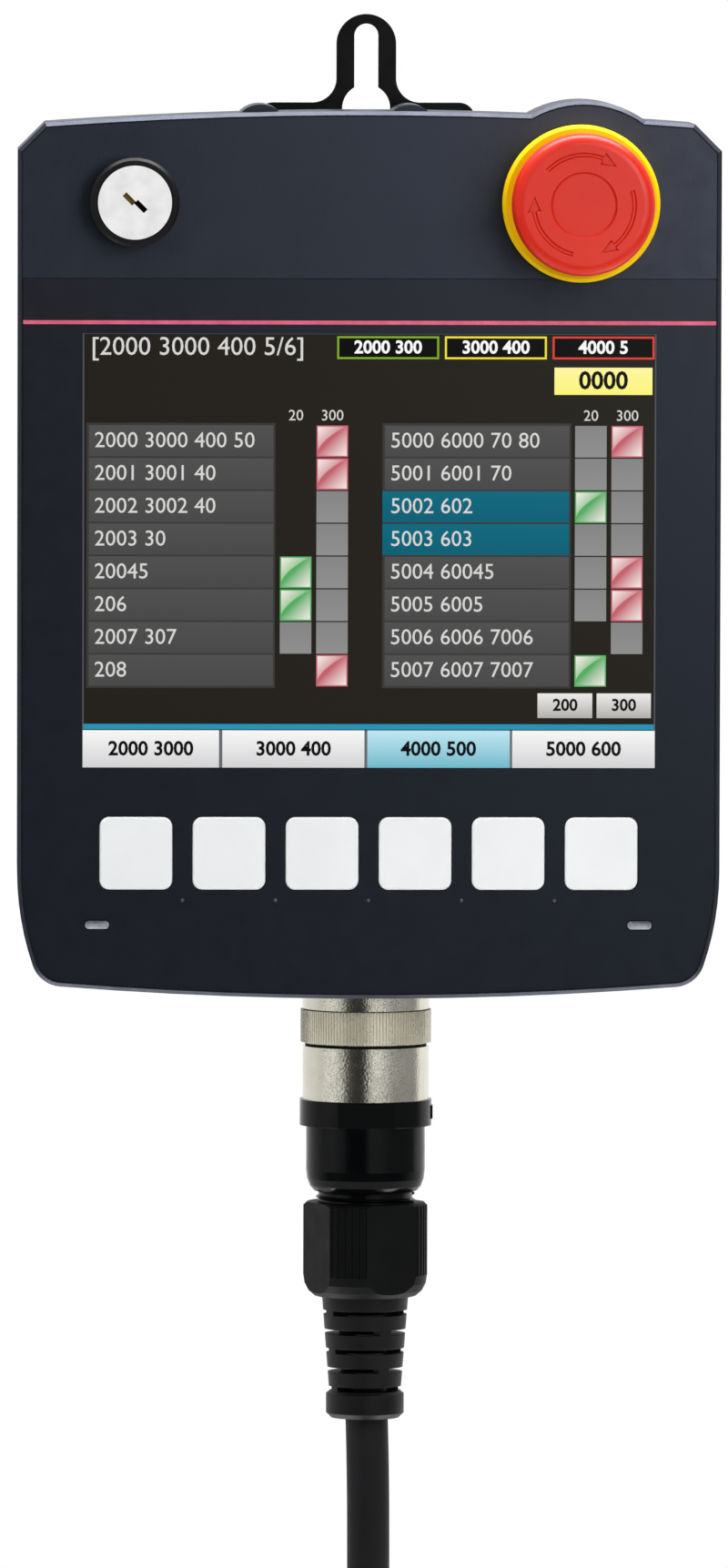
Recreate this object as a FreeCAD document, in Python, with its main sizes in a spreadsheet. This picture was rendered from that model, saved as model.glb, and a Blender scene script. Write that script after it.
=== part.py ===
import FreeCAD, Part
import math
import os
import Sketcher
from FreeCAD import Placement, Rotation, Vector
from types import SimpleNamespace

# Handheld operator touch panel, hanging upright from its hanger.
# Millimetres. +X is the user's right, -Y is the front, +Z is up.
# The origin is the seat at the top of the hanger's slot, and Y = 0 is the back of the case.

SIZES = {
    # Case
    "case_width": 145.0,
    "case_height": 183.1,
    "case_depth": 36.0,
    "front_case_depth": 9.0,
    "front_wall": 2.5,
    "side_wall": 2.5,
    "back_wall": 2.5,
    "top_drop": 15.2,
    "top_radius": 900.0,
    "bottom_radius": 820.0,
    "corner_chamfer": 5.6,
    "lower_curve_height": 26.3,
    "lower_side_radius": 60.0,
    "corner_radius": 6.5,
    "rim_chamfer": 0.8,
    "back_bevel": 5.0,
    "bump_radius": 21.8,
    "bump_edge": 28.5,
    "bump_drop": 19.5,
    "gasket_inset": 0.8,
    "gasket_width": 1.0,
    "gasket_height": 1.0,
    "fit_gap": 0.2,
    "running_gap": 0.3,
    "running_fit": 0.08,
    # Case screws and their bosses
    "screw_radius": 1.25,
    "screw_hole_radius": 1.35,
    "screw_head_radius": 2.25,
    "screw_head_height": 2.0,
    "screw_well_radius": 2.5,
    "screw_well_depth": 6.0,
    "screw_grip": 5.0,
    "boss_radius": 4.0,
    "hump_radius": 5.7,
    "hump_drop": 4.4,
    "hump_left_x": 22.4,
    "hump_right_x": 8.5,
    "shoulder_boss_edge": 7.5,
    "shoulder_boss_drop": 36.6,
    "foot_boss_edge": 12.5,
    "foot_boss_rise": 8.3,
    # Front sheet, screen and its stack
    "sheet_thickness": 0.5,
    "sheet_inset": 0.95,
    "sheet_drop": 34.4,
    "window_edge": 13.4,
    "window_height": 89.7,
    "window_drop": 45.8,
    "touch_margin": 2.0,
    "lcd_margin": 4.0,
    "lcd_thickness": 7.5,
    "bracket_thickness": 1.0,
    "bracket_height": 76.0,
    "ear_gap": 1.0,
    "ear_radius": 2.5,
    "ear_spacing": 62.0,
    "spacer_height": 4.0,
    "spacer_radius": 2.5,
    "spacer_spacing_x": 66.0,
    "spacer_spacing_z": 58.0,
    "board_width": 76.0,
    "board_height": 68.0,
    "board_thickness": 1.6,
    "chip_size": 17.0,
    "chip_height": 2.2,
    "small_screw_radius": 1.2,
    "small_hole_radius": 1.3,
    "small_head_radius": 2.2,
    "small_head_height": 1.4,
    "small_screw_length": 4.5,
    # Function keys
    "key_size": 15.0,
    "key_pitch": 19.2,
    "key_rise": 30.1,
    "key_corner": 2.0,
    "key_edge": 0.4,
    "key_proud": 0.5,
    "key_flange": 1.0,
    "key_flange_lip": 1.0,
    "key_travel": 0.8,
    "key_switch_size": 6.0,
    "key_switch_height": 3.0,
    "key_board_edge": 10.5,
    "key_board_top_rise": 40.7,
    "key_board_bottom_rise": 12.8,
    "key_post_edge": 12.5,
    "key_post_rise": 38.0,
    "key_post_low_x": 33.0,
    "key_post_low_rise": 16.2,
    "lamp_edge": 16.5,
    "lamp_rise": 15.3,
    "lamp_width": 5.0,
    "lamp_height": 1.7,
    "lamp_chip_height": 0.8,
    # Emergency stop
    "estop_edge": 29.1,
    "estop_drop": 18.85,
    "estop_ring_radius": 16.2,
    "estop_ring_height": 5.0,
    "estop_ring_bevel": 0.7,
    "estop_well_radius": 10.6,
    "estop_well_depth": 3.2,
    "estop_head_radius": 14.6,
    "estop_head_height": 9.0,
    "estop_head_rounding": 2.2,
    "estop_head_reach": 19.5,
    "estop_dish_radius": 6.85,
    "estop_dish_depth": 0.5,
    "estop_skirt_radius": 10.0,
    "estop_skirt_height": 3.6,
    "estop_travel": 4.0,
    "estop_stem_radius": 6.0,
    "estop_socket_depth": 2.0,
    "bush_radius": 8.0,
    "bush_hole_radius": 8.15,
    "bush_length": 16.0,
    "nut_radius": 12.0,
    "nut_height": 4.0,
    "estop_block_size": 24.0,
    "estop_block_depth": 14.0,
    # Key switch
    "lock_edge": 24.05,
    "lock_drop": 18.75,
    "lock_bezel_radius": 9.2,
    "lock_bezel_front_radius": 8.6,
    "lock_bezel_height": 6.5,
    "lock_face_radius": 7.6,
    "lock_face_height": 1.6,
    "lock_face_proud": 0.4,
    "lock_barrel_radius": 5.5,
    "keyway_length": 5.6,
    "keyway_width": 1.1,
    "keyway_depth": 7.0,
    "keyway_step": 0.3,
    "keyway_angle": 45.0,
    "wafer_thickness": 2.0,
    "lock_block_size": 20.0,
    "lock_block_depth": 10.0,
    # Hanger
    "hanger_thickness": 2.0,
    "hanger_width": 12.4,
    "hanger_top_rise": 4.5,
    "hanger_slot_width": 5.0,
    "keyhole_radius": 5.0,
    "keyhole_drop": 15.1,
    "hanger_foot_width": 45.2,
    "hanger_foot_top": 13.9,
    "hanger_foot_bottom": 38.0,
    "hanger_foot_corner": 3.2,
    "hanger_flare": 5.0,
    "hanger_screw_x": 15.0,
    "hanger_screw_drop": 31.0,
    "relief_width": 10.4,
    "relief_depth": 6.0,
    "relief_bottom": 23.0,
    "relief_wall": 2.0,
    "rear_screw_radius": 2.0,
    "rear_screw_hole_radius": 2.1,
    "rear_screw_head_radius": 3.6,
    "rear_screw_head_height": 2.4,
    "rear_screw_length": 9.0,
    "rear_boss_radius": 4.6,
    # Rear grip with its enabling lever
    "ridge_x": 13.0,
    "ridge_width": 42.0,
    "ridge_top": 60.0,
    "ridge_bottom": 170.0,
    "ridge_depth": 18.0,
    "ridge_corner": 10.0,
    "ridge_rounding": 6.0,
    "lever_width": 20.0,
    "lever_over_hinge": 4.5,
    "lever_bottom": 150.0,
    "lever_swell": 5.0,
    "lever_thickness": 7.0,
    "lever_side_gap": 0.5,
    "lever_end_gap": 1.3,
    "lever_edge_rounding": 1.5,
    "hinge_drop": 84.5,
    "hinge_setback": 4.5,
    "hinge_pin_radius": 1.5,
    "hinge_hole_radius": 1.6,
    "hinge_knuckle_radius": 3.4,
    "hinge_lug_width": 3.5,
    "hinge_lug_gap": 0.5,
    "grip_switch_drop": 132.0,
    "grip_switch_width": 14.0,
    "grip_switch_length": 26.0,
    "grip_switch_depth": 12.0,
    "grip_switch_top": 3.0,
    "grip_flange_length": 40.0,
    "grip_flange_thickness": 1.5,
    "grip_plunger_radius": 3.0,
    "grip_plunger_depth": 6.0,
    "grip_plunger_rounding": 1.2,
    "grip_screw_spacing": 33.0,
    # Hand strap
    "strap_edge": 34.5,
    "strap_width": 36.0,
    "strap_thickness": 3.2,
    "strap_top": 48.0,
    "strap_bottom": 182.0,
    "strap_arch": 28.0,
    "strap_rise_run": 15.5,
    "strap_bend": 14.0,
    "clamp_width": 44.0,
    "clamp_height": 12.0,
    "clamp_thickness": 2.5,
    "clamp_screw_spacing": 28.0,
    "clamp_inset": 1.5,
    # Backup battery behind its cover
    "bay_edge": 19.5,
    "bay_drop": 118.0,
    "bay_width": 15.0,
    "bay_length": 38.0,
    "bay_depth": 16.0,
    "bay_wall": 1.5,
    "battery_radius": 7.0,
    "battery_length": 36.0,
    "battery_cover_width": 22.0,
    "battery_cover_length": 54.0,
    "battery_cover_thickness": 1.6,
    "battery_cover_corner": 2.5,
    # Connector on the bottom
    "connector_depth": 15.5,
    "barrel_radius": 9.5,
    "barrel_hole_radius": 9.65,
    "barrel_bore_radius": 8.0,
    "barrel_bottom": 206.0,
    "seat_rise": 4.2,
    "seat_half_width": 13.0,
    "inner_flange_radius": 11.0,
    "inner_flange_height": 2.5,
    "inner_stub_height": 9.0,
    "collar_radius": 13.2,
    "collar_bottom": 201.5,
    "ring_radius": 13.3,
    "ring_root_radius": 12.9,
    "ring_ridges": 60,
    "ring_bore_radius": 9.9,
    "ring_recess_radius": 11.4,
    "ring_recess_top": 205.0,
    "ring_bottom": 208.3,
    "sleeve_neck_radius": 11.0,
    "sleeve_bore_radius": 9.7,
    "sleeve_radius": 13.1,
    "sleeve_top": 209.3,
    "sleeve_floor": 212.0,
    "sleeve_bottom": 220.4,
    "insert_radius": 7.8,
    "insert_top": 199.0,
    "clamp_ring_radius": 13.7,
    "clamp_ring_bottom": 225.8,
    "clamp_lug": 0.2,
    "clamp_lug_width": 4.0,
    "clamp_lug_height": 2.8,
    "backshell_neck_radius": 10.0,
    "backshell_radius": 12.35,
    "backshell_waist": 235.1,
    "backshell_bottom": 239.8,
    "thread_radius": 9.8,
    "thread_bottom": 251.5,
    "gland_radius": 12.9,
    "gland_top": 241.9,
    "gland_shoulder": 256.9,
    "gland_bottom": 261.7,
    "gland_mouth_radius": 9.25,
    "gland_top_bevel": 0.7,
    "gland_flat_depth": 1.4,
    "gland_flat_turn": 27.0,
    "gland_rib_radius": 0.5,
    "gland_rib_pitch": 6.4,
    "boot_flange_radius": 9.75,
    "boot_flange_height": 3.0,
    "boot_radius": 8.95,
    "boot_end_radius": 7.45,
    "boot_collar_top": 281.3,
    "boot_collar_radius": 8.1,
    "boot_bottom": 286.8,
    "boot_slot_height": 1.0,
    "boot_slot_first": 264.8,
    "boot_slot_pitch": 3.98,
    "boot_slot_angle": 162.0,
    "boot_slot_turn": 30.0,
    # Cable, its put-away coil and the plug on its far end
    "cable_radius": 4.5,
    "cable_gap": 0.15,
    "turn_pitch": 9.2,
    "coil_centre_drop": 431.0,
    "coil_mid_radius": 48.0,
    "tie_width": 14.0,
    "tie_thickness": 1.6,
    "far_hood_radius": 11.5,
    "far_hood_length": 30.0,
    "far_groove_pitch": 3.6,
    "far_groove_width": 1.4,
    "far_groove_depth": 0.6,
    "far_nose_radius": 9.0,
    "far_nose_length": 16.0,
}

TURNS_ACROSS = 4
TURNS_DEEP = 2
KEY_COUNT = 6
BOOT_SLOTS = 5
GLAND_FLATS = 4
GLAND_RIBS = 6
HOOD_GROOVES = 3
FRONT_ANGLE = 90

doc = FreeCAD.newDocument("operator_panel")
sheet = doc.addObject("Spreadsheet::Sheet", "sizes")
for row, (alias, number) in enumerate(SIZES.items(), start=1):
    sheet.set(f"A{row}", alias)
    sheet.set(f"B{row}", str(number))
    sheet.setAlias(f"B{row}", alias)
doc.recompute()


class Term:
    """A size from the sheet, or one worked out from such sizes, with its value and expression."""

    def __init__(self, value, text):
        self.value = value
        self.text = text

    def __add__(self, other):
        other = term(other)
        return Term(self.value + other.value, f"({self.text} + {other.text})")

    def __sub__(self, other):
        other = term(other)
        return Term(self.value - other.value, f"({self.text} - {other.text})")

    def __mul__(self, other):
        other = term(other)
        return Term(self.value * other.value, f"({self.text} * {other.text})")

    def __truediv__(self, other):
        other = term(other)
        return Term(self.value / other.value, f"({self.text} / {other.text})")

    def __neg__(self):
        return Term(-self.value, f"(-{self.text})")

    __radd__ = __add__
    __rmul__ = __mul__

    def __rsub__(self, other):
        return term(other) - self


def term(item):
    return item if isinstance(item, Term) else Term(float(item), f"({float(item)})")


size = SimpleNamespace(**{name: Term(float(sheet.get(name)), f"sizes.{name}") for name in SIZES})
ZERO = term(0)
ALONG_Y = Rotation(Vector(1, 0, 0), -90)
FACING_FRONT = Rotation(Vector(1, 0, 0), 90)
nodes = {}


def node(name, item):
    """Registers a finished sub-part under its own label."""
    item.Label = name
    nodes[name] = item
    return item


def around(centre, width):
    """The span of the given width about a centre."""
    return (centre - width / 2, centre + width / 2)


def place(item, x, y, z, turn=Rotation()):
    x, y, z = term(x), term(y), term(z)
    item.Placement = Placement(Vector(x.value, y.value, z.value), turn)
    for letter, along in (("x", x), ("y", y), ("z", z)):
        item.setExpression(f"Placement.Base.{letter}", along.text)
    return item


def box(name, x_span, y_span, z_span):
    item = doc.addObject("Part::Box", name)
    spans = (x_span, y_span, z_span)
    for side, (low, high) in zip(("Length", "Width", "Height"), spans):
        item.setExpression(side, (term(high) - low).text)
    return place(item, x_span[0], y_span[0], z_span[0])


def bar_along_y(name, radius, x, z, y_span):
    item = doc.addObject("Part::Cylinder", name)
    item.setExpression("Radius", term(radius).text)
    item.setExpression("Height", (term(y_span[1]) - y_span[0]).text)
    return place(item, x, y_span[0], z, ALONG_Y)


def bar_along_z(name, radius, x, y, z_span):
    item = doc.addObject("Part::Cylinder", name)
    item.setExpression("Radius", term(radius).text)
    item.setExpression("Height", (term(z_span[1]) - z_span[0]).text)
    return place(item, x, y, z_span[0])


def bar_along_x(name, radius, y, z, x_span):
    item = doc.addObject("Part::Cylinder", name)
    item.setExpression("Radius", term(radius).text)
    item.setExpression("Height", (term(x_span[1]) - x_span[0]).text)
    return place(item, x_span[0], y, z, Rotation(Vector(0, 1, 0), 90))


def fused(name, *items):
    item = doc.addObject("Part::MultiFuse", name)
    item.Shapes = list(items)
    item.Refine = True
    return item


def carved(name, base, *tools):
    item = doc.addObject("Part::Cut", name)
    item.Base = base
    item.Tool = tools[0] if len(tools) == 1 else fused(f"{name}_tools", *tools)
    item.Refine = True
    return item


def common(name, first, second):
    item = doc.addObject("Part::Common", name)
    item.Base = first
    item.Tool = second
    return item


def gathered(name, *items):
    """Several equal solids kept apart in one sub-part."""
    item = doc.addObject("Part::Compound", name)
    item.Links = list(items)
    return item


def edge_numbers(item, test):
    doc.recompute()
    return [i for i, edge in enumerate(item.Shape.Edges, start=1) if test(edge)]


def softened(name, base, radius, test, kind="Part::Fillet"):
    """Rounds, or chamfers, the edges of a solid that pass a test of their place."""
    item = doc.addObject(kind, name)
    item.Base = base
    item.Edges = [(i, radius.value, radius.value) for i in edge_numbers(base, test)]
    return item


def in_plane(axis, along):
    """A test for edges that lie in the plane at that place on the axis."""

    def test(edge):
        places = [getattr(vertex.Point, axis) for vertex in edge.Vertexes]
        return all(abs(place - along.value) < 1e-5 for place in places)

    return test


def along_axis(axis):
    """A test for straight edges that run along the axis."""

    def test(edge):
        if len(edge.Vertexes) < 2:
            return False
        run = edge.Vertexes[1].Point - edge.Vertexes[0].Point
        return abs(abs(getattr(run, axis)) - run.Length) < 1e-6 and run.Length > 1e-6

    return test


def origin_plane(body, role):
    return [item for item in body.Origin.OriginFeatures if item.Role == role][0]


def hold_point(sketch, geometry, corner, x, y):
    """Ties one point of a sketch to the sheet."""
    for kind, along, axis in (("DistanceX", x, -2), ("DistanceY", y, -1)):
        if along is ZERO:
            sketch.addConstraint(Sketcher.Constraint("PointOnObject", geometry, corner, axis))
            continue
        rule = Sketcher.Constraint(kind, -1, 1, geometry, corner, along.value)
        index = sketch.addConstraint(rule)
        sketch.setExpression(f"Constraints[{index}]", along.text)


def body_sketch(body, name, role, points):
    """A closed polygon on one of the body's own planes, each corner tied to the sheet."""
    sketch = body.newObject("Sketcher::SketchObject", name)
    sketch.AttachmentSupport = [(origin_plane(body, role), "")]
    sketch.MapMode = "FlatFace"
    corners = [(term(x), term(y)) for x, y in points]
    places = [Vector(x.value, y.value, 0) for x, y in corners]
    for i, start in enumerate(places):
        sketch.addGeometry(Part.LineSegment(start, places[(i + 1) % len(places)]), False)
    for i in range(len(places)):
        joint = Sketcher.Constraint("Coincident", i, 2, (i + 1) % len(places), 1)
        sketch.addConstraint(joint)
    for i, (x, y) in enumerate(corners):
        hold_point(sketch, i, 1, x, y)
    return sketch


def turned(name, axis, profile, x, y, z):
    """A solid of revolution: corners are (radius, place along the axis)."""
    body = doc.addObject("PartDesign::Body", name)
    role = "XY_Plane" if axis == "Y" else "XZ_Plane"
    sketch = body_sketch(body, f"{name}_profile", role, profile)
    turn = body.newObject("PartDesign::Revolution", f"{name}_turn")
    turn.Profile = sketch
    turn.ReferenceAxis = (sketch, ["V_Axis"])
    turn.Angle = 360
    return place(body, x, y, z)


def round_body_edges(body, name, radius, test):
    doc.recompute()
    tip = body.Tip
    picked = [f"Edge{i}" for i, edge in enumerate(tip.Shape.Edges, start=1) if test(edge)]
    fillet = body.newObject("PartDesign::Fillet", name)
    fillet.Base = (tip, picked)
    fillet.setExpression("Radius", radius.text)
    return body


def ring_edge(axis, along, radius):
    """A test for a circular edge of that radius about a body's own axis."""

    def test(edge):
        curve = edge.Curve
        if not isinstance(curve, Part.Circle):
            return False
        level = getattr(curve.Center, axis)
        return abs(curve.Radius - radius.value) < 1e-5 and abs(level - along.value) < 1e-5

    return test


def padded(name, role, points, start, length):
    """A polygon padded along its plane's axis: Y for XZ_Plane, X for YZ_Plane."""
    body = doc.addObject("PartDesign::Body", name)
    sketch = body_sketch(body, f"{name}_outline", role, points)
    pad = body.newObject("PartDesign::Pad", f"{name}_pad")
    pad.Profile = sketch
    pad.setExpression("Length", term(length).text)
    if role == "XZ_Plane":
        pad.Reversed = True
        return place(body, ZERO, start, ZERO)
    return place(body, start, ZERO, ZERO)


# Levels that many pieces share
half_width = size.case_width / 2
top_z = -size.top_drop
bottom_z = top_z - size.case_height
front_y = -size.case_depth
plate_back_y = front_y + size.front_wall
seam_y = front_y + size.front_case_depth
inner_back_y = -size.back_wall
bump_z = top_z - size.bump_drop
estop_z = top_z - size.estop_drop
lock_z = top_z - size.lock_drop
window_top = top_z - size.window_drop
window_z = window_top - size.window_height / 2
key_z = bottom_z + size.key_rise
lamp_z = bottom_z + size.lamp_rise
connector_y = -size.connector_depth
bump_x = half_width - size.bump_edge
estop_x = half_width - size.estop_edge
lock_x = size.lock_edge - half_width
lamp_x = half_width - size.lamp_edge
strap_x = size.strap_edge - half_width
bay_x = half_width - size.bay_edge
ear_x = half_width - size.side_wall - size.ear_radius - size.ear_gap
window_width = size.case_width - 2 * size.window_edge


def case_outline():
    """Front outline of the case: crowned top, chamfered shoulders, drawn-in foot."""
    sketch = doc.addObject("Sketcher::SketchObject", "case_outline")
    sketch.Placement = Placement(Vector(), FACING_FRONT)
    half, chamfer = half_width.value, size.corner_chamfer.value
    crown, foot = size.top_radius.value, size.bottom_radius.value
    flank, corner = size.lower_side_radius.value, size.corner_radius.value
    crown_z = top_z - size.top_radius
    foot_z = bottom_z + size.bottom_radius
    flank_x = half_width - size.lower_side_radius
    flank_z = bottom_z + size.lower_curve_height

    # The corner arc touches the flank arc and the foot arc from inside
    reach_x, reach_z = flank_x.value, flank_z.value - foot_z.value
    span = math.hypot(reach_x, reach_z)
    near = ((foot - corner) ** 2 - (flank - corner) ** 2 + span**2) / (2 * span)
    side = math.sqrt((foot - corner) ** 2 - near**2)
    corner_x = (near * reach_x - side * reach_z) / span
    corner_z = foot_z.value + (near * reach_z + side * reach_x) / span
    flank_turn = math.atan2(corner_z - flank_z.value, corner_x - flank_x.value)
    foot_turn = math.atan2(corner_z - foot_z.value, corner_x)
    crown_turn = math.acos((half - chamfer) / crown)
    shoulder_z = crown_z.value + crown * math.sin(crown_turn)

    def arc(x, z, radius, start, end):
        circle = Part.Circle(Vector(x, z, 0), Vector(0, 0, 1), radius)
        sketch.addGeometry(Part.ArcOfCircle(circle, start, end), False)

    def line(start, end):
        sketch.addGeometry(Part.LineSegment(Vector(*start, 0), Vector(*end, 0)), False)

    arc(0, crown_z.value, crown, crown_turn, math.pi - crown_turn)
    line((chamfer - half, shoulder_z), (-half, shoulder_z - chamfer))
    line((-half, shoulder_z - chamfer), (-half, flank_z.value))
    arc(-flank_x.value, flank_z.value, flank, math.pi, math.pi - flank_turn)
    arc(-corner_x, corner_z, corner, math.pi - flank_turn, math.pi - foot_turn)
    arc(0, foot_z.value, foot, -math.pi - foot_turn, foot_turn)
    arc(corner_x, corner_z, corner, foot_turn, flank_turn)
    arc(flank_x.value, flank_z.value, flank, flank_turn, 0)
    line((half, flank_z.value), (half, shoulder_z - chamfer))
    line((half, shoulder_z - chamfer), (half - chamfer, shoulder_z))

    def rule(*parts):
        return sketch.addConstraint(Sketcher.Constraint(*parts))

    def tie(along, *parts):
        sketch.setExpression(f"Constraints[{rule(*parts, along.value)}]", along.text)

    for first, second in ((0, 1), (1, 2), (8, 9), (9, 0)):
        rule("Coincident", first, 2, second, 1)
    for first in range(2, 8):
        rule("Tangent", first, 2, first + 1, 1)
    for round_edge, centre_z, radius in (
        (0, crown_z, size.top_radius),
        (5, foot_z, size.bottom_radius),
    ):
        rule("PointOnObject", round_edge, 3, -2)
        tie(centre_z, "DistanceY", -1, 1, round_edge, 3)
        tie(radius, "Radius", round_edge)
    for left, right, radius in (
        (3, 7, size.lower_side_radius),
        (4, 6, size.corner_radius),
    ):
        tie(radius, "Radius", left)
        tie(radius, "Radius", right)
    tie(size.corner_chamfer - half_width, "DistanceX", -1, 1, 1, 1)
    tie(half_width - size.corner_chamfer, "DistanceX", -1, 1, 9, 2)
    tie(-half_width, "DistanceX", -1, 1, 1, 2)
    tie(half_width, "DistanceX", -1, 1, 9, 1)
    tie(-size.corner_chamfer, "DistanceY", 1, 1, 1, 2)
    tie(-size.corner_chamfer, "DistanceY", 9, 2, 9, 1)
    rule("Vertical", 2)
    rule("Vertical", 8)
    tie(flank_z, "DistanceY", -1, 1, 2, 2)
    tie(flank_z, "DistanceY", -1, 1, 8, 1)
    return sketch


outline = case_outline()


def outline_block(name, inset, y_span):
    """The outline, drawn in by an inset, extruded from front to back."""
    profile = outline
    if inset is not ZERO:
        profile = doc.addObject("Part::Offset2D", f"{name}_inset")
        profile.Source = outline
        profile.setExpression("Value", (-inset).text)
    item = doc.addObject("Part::Extrusion", name)
    item.Base = profile
    item.DirMode = "Custom"
    item.Dir = Vector(0, 1, 0)
    item.Solid = True
    item.setExpression("LengthFwd", (y_span[1] - y_span[0]).text)
    item.setExpression("Placement.Base.y", y_span[0].text)
    return item


def case_block(name, inset, y_span, bevel=None, bevel_y=None):
    """The outline with the round bump at the stop button; a bevel may run round one end."""
    blocks = [
        outline_block(f"{name}_body", inset, y_span),
        bar_along_y(f"{name}_bump", size.bump_radius - inset, bump_x, bump_z, y_span),
    ]
    if bevel is not None:
        test = in_plane("y", bevel_y)
        blocks = [
            softened(f"{block.Name}_rim", block, bevel, test, "Part::Chamfer") for block in blocks
        ]
    return fused(name, *blocks)


def boss_places():
    """Centres of the six case screws: two under the humps, two shoulders, two feet."""
    hump_z = top_z - size.hump_drop
    shoulder_z = top_z - size.shoulder_boss_drop
    foot_z = bottom_z + size.foot_boss_rise
    return [
        (-size.hump_left_x, hump_z),
        (size.hump_right_x, hump_z),
        (size.shoulder_boss_edge - half_width, shoulder_z),
        (half_width - size.shoulder_boss_edge, shoulder_z),
        (size.foot_boss_edge - half_width, foot_z),
        (half_width - size.foot_boss_edge, foot_z),
    ]


def key_places():
    """Centres of the function keys, left to right."""
    first = -(KEY_COUNT - 1) / 2 * size.key_pitch
    return [first + i * size.key_pitch for i in range(KEY_COUNT)]


def ear_places():
    """Posts of the front case that carry the display bracket."""
    rows = around(window_z, size.ear_spacing)
    return [(x, z) for x in (-ear_x, ear_x) for z in rows]


def spacer_places():
    columns = around(ZERO, size.spacer_spacing_x)
    rows = around(window_z, size.spacer_spacing_z)
    return [(x, z) for x in columns for z in rows]


def key_post_places():
    high = bottom_z + size.key_post_rise
    low = bottom_z + size.key_post_low_rise
    return [
        (size.key_post_edge - half_width, high),
        (half_width - size.key_post_edge, high),
        (-size.key_post_low_x, low),
        (size.key_post_low_x, low),
    ]


def rounded_block(name, x, z, width, height, corner, y_span):
    """A block with rounded corners as seen from the front."""
    block = box(f"{name}_block", around(x, width), y_span, around(z, height))
    return softened(name, block, corner, along_axis("y"))


def obround(name, x, z, width, height, y_span):
    """A slot shape with round ends."""
    straight = width - height
    middle = box(f"{name}_middle", around(x, straight), y_span, around(z, height))
    ends = [
        bar_along_y(f"{name}_end", height / 2, end, z, y_span)
        for end in around(x, straight)
    ]
    return fused(name, middle, *ends)


lcd_back_y = plate_back_y + size.lcd_thickness
key_flange_y = plate_back_y + size.running_gap
key_flange_back_y = key_flange_y + size.key_flange
key_switch_y = key_flange_back_y + size.key_travel + size.fit_gap
key_board_y = key_switch_y + size.key_switch_height
sheet_back_y = front_y + size.sheet_thickness
through_front = (front_y - size.front_wall, plate_back_y + size.front_wall)


def front_case():
    shell = case_block("front_shell", ZERO, (front_y, seam_y), size.rim_chamfer, front_y)
    hollow = case_block("front_hollow", size.side_wall, (plate_back_y, seam_y + size.front_wall))
    bosses = [
        bar_along_y("front_boss", size.boss_radius, x, z, (plate_back_y, seam_y))
        for x, z in boss_places()
    ]
    ears = [
        bar_along_y("ear_post", size.ear_radius, x, z, (plate_back_y, lcd_back_y))
        for x, z in ear_places()
    ]
    key_posts = [
        bar_along_y("key_post", size.ear_radius, x, z, (plate_back_y, key_board_y))
        for x, z in key_post_places()
    ]
    solid = fused("front_solid", carved("front_tray", shell, hollow), *bosses, *ears, *key_posts)

    touch_width = window_width + 2 * (size.touch_margin + size.fit_gap)
    touch_height = size.window_height + 2 * (size.touch_margin + size.fit_gap)
    cuts = [
        sheet_block("sheet_recess", size.sheet_inset, ZERO, (front_y - size.front_wall, sheet_back_y)),
        box("screen_opening", around(ZERO, touch_width), through_front, around(window_z, touch_height)),
        bar_along_y("stop_hole", size.bush_hole_radius, estop_x, estop_z, through_front),
        bar_along_y("lock_hole", size.bush_hole_radius, lock_x, lock_z, through_front),
        gasket_ring("front_groove"),
    ]
    opening = size.key_size + 2 * size.fit_gap
    corner = size.key_corner + size.fit_gap
    for x in key_places():
        cuts.append(rounded_block("key_opening", x, key_z, opening, opening, corner, through_front))
    for x in (-lamp_x, lamp_x):
        slot = (size.lamp_width + 2 * size.fit_gap, size.lamp_height + 2 * size.fit_gap)
        cuts.append(obround("lamp_slot", x, lamp_z, *slot, through_front))
    screw_end = seam_y - size.screw_grip - size.fit_gap
    for x, z in boss_places():
        cuts.append(bar_along_y("boss_hole", size.screw_hole_radius, x, z, (screw_end, seam_y)))
    for x, z in ear_places():
        span = (lcd_back_y - size.small_screw_length, lcd_back_y)
        cuts.append(bar_along_y("ear_hole", size.small_hole_radius, x, z, span))
    for x, z in key_post_places():
        span = (key_board_y - size.small_screw_length, key_board_y)
        cuts.append(bar_along_y("post_hole", size.small_hole_radius, x, z, span))
    return node("front_case", carved("front_case_solid", solid, *cuts))


def sheet_block(name, inset, drop, y_span):
    """The field of the front sheet: the drawn-in outline below a straight top edge."""
    top = top_z - size.sheet_drop - drop
    below = bottom_z - size.case_width
    field = box(f"{name}_field", around(ZERO, 2 * size.case_width), y_span, (below, top))
    return common(name, outline_block(f"{name}_outline", inset, y_span), field)


def gasket_ring(name):
    """The cord seal that lies half in each case along the seam."""
    span = around(seam_y, size.gasket_height)
    outer = case_block(f"{name}_outer", size.gasket_inset, span)
    inner = case_block(f"{name}_inner", size.gasket_inset + size.gasket_width, span)
    return carved(name, outer, inner)


ridge_span = (-size.ridge_bottom, -size.ridge_top)
ridge_inner_y = size.ridge_depth - size.back_wall
hinge_y = size.ridge_depth - size.hinge_setback
hinge_z = -size.hinge_drop
lever_span = (-size.lever_bottom, hinge_z + size.lever_over_hinge)
lever_back_y = size.ridge_depth - size.lever_thickness
grip_switch_z = -size.grip_switch_drop
bay_z = -size.bay_drop
clamp_places = (
    -size.strap_top - size.clamp_height / 2 - size.clamp_inset,
    -size.strap_bottom + size.clamp_height / 2 + size.clamp_inset,
)


def rear_screw_places():
    """Screws of the hanger and the strap clamps: place and the level under each head."""
    spots = [
        (x, -size.hanger_screw_drop, size.hanger_thickness)
        for x in (-size.hanger_screw_x, size.hanger_screw_x)
    ]
    for z in clamp_places:
        for x in around(strap_x, size.clamp_screw_spacing):
            spots.append((x, z, size.strap_thickness + size.clamp_thickness))
    return spots


def grip_screw_places():
    return [(size.ridge_x, z) for z in around(grip_switch_z, size.grip_screw_spacing)]


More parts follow.
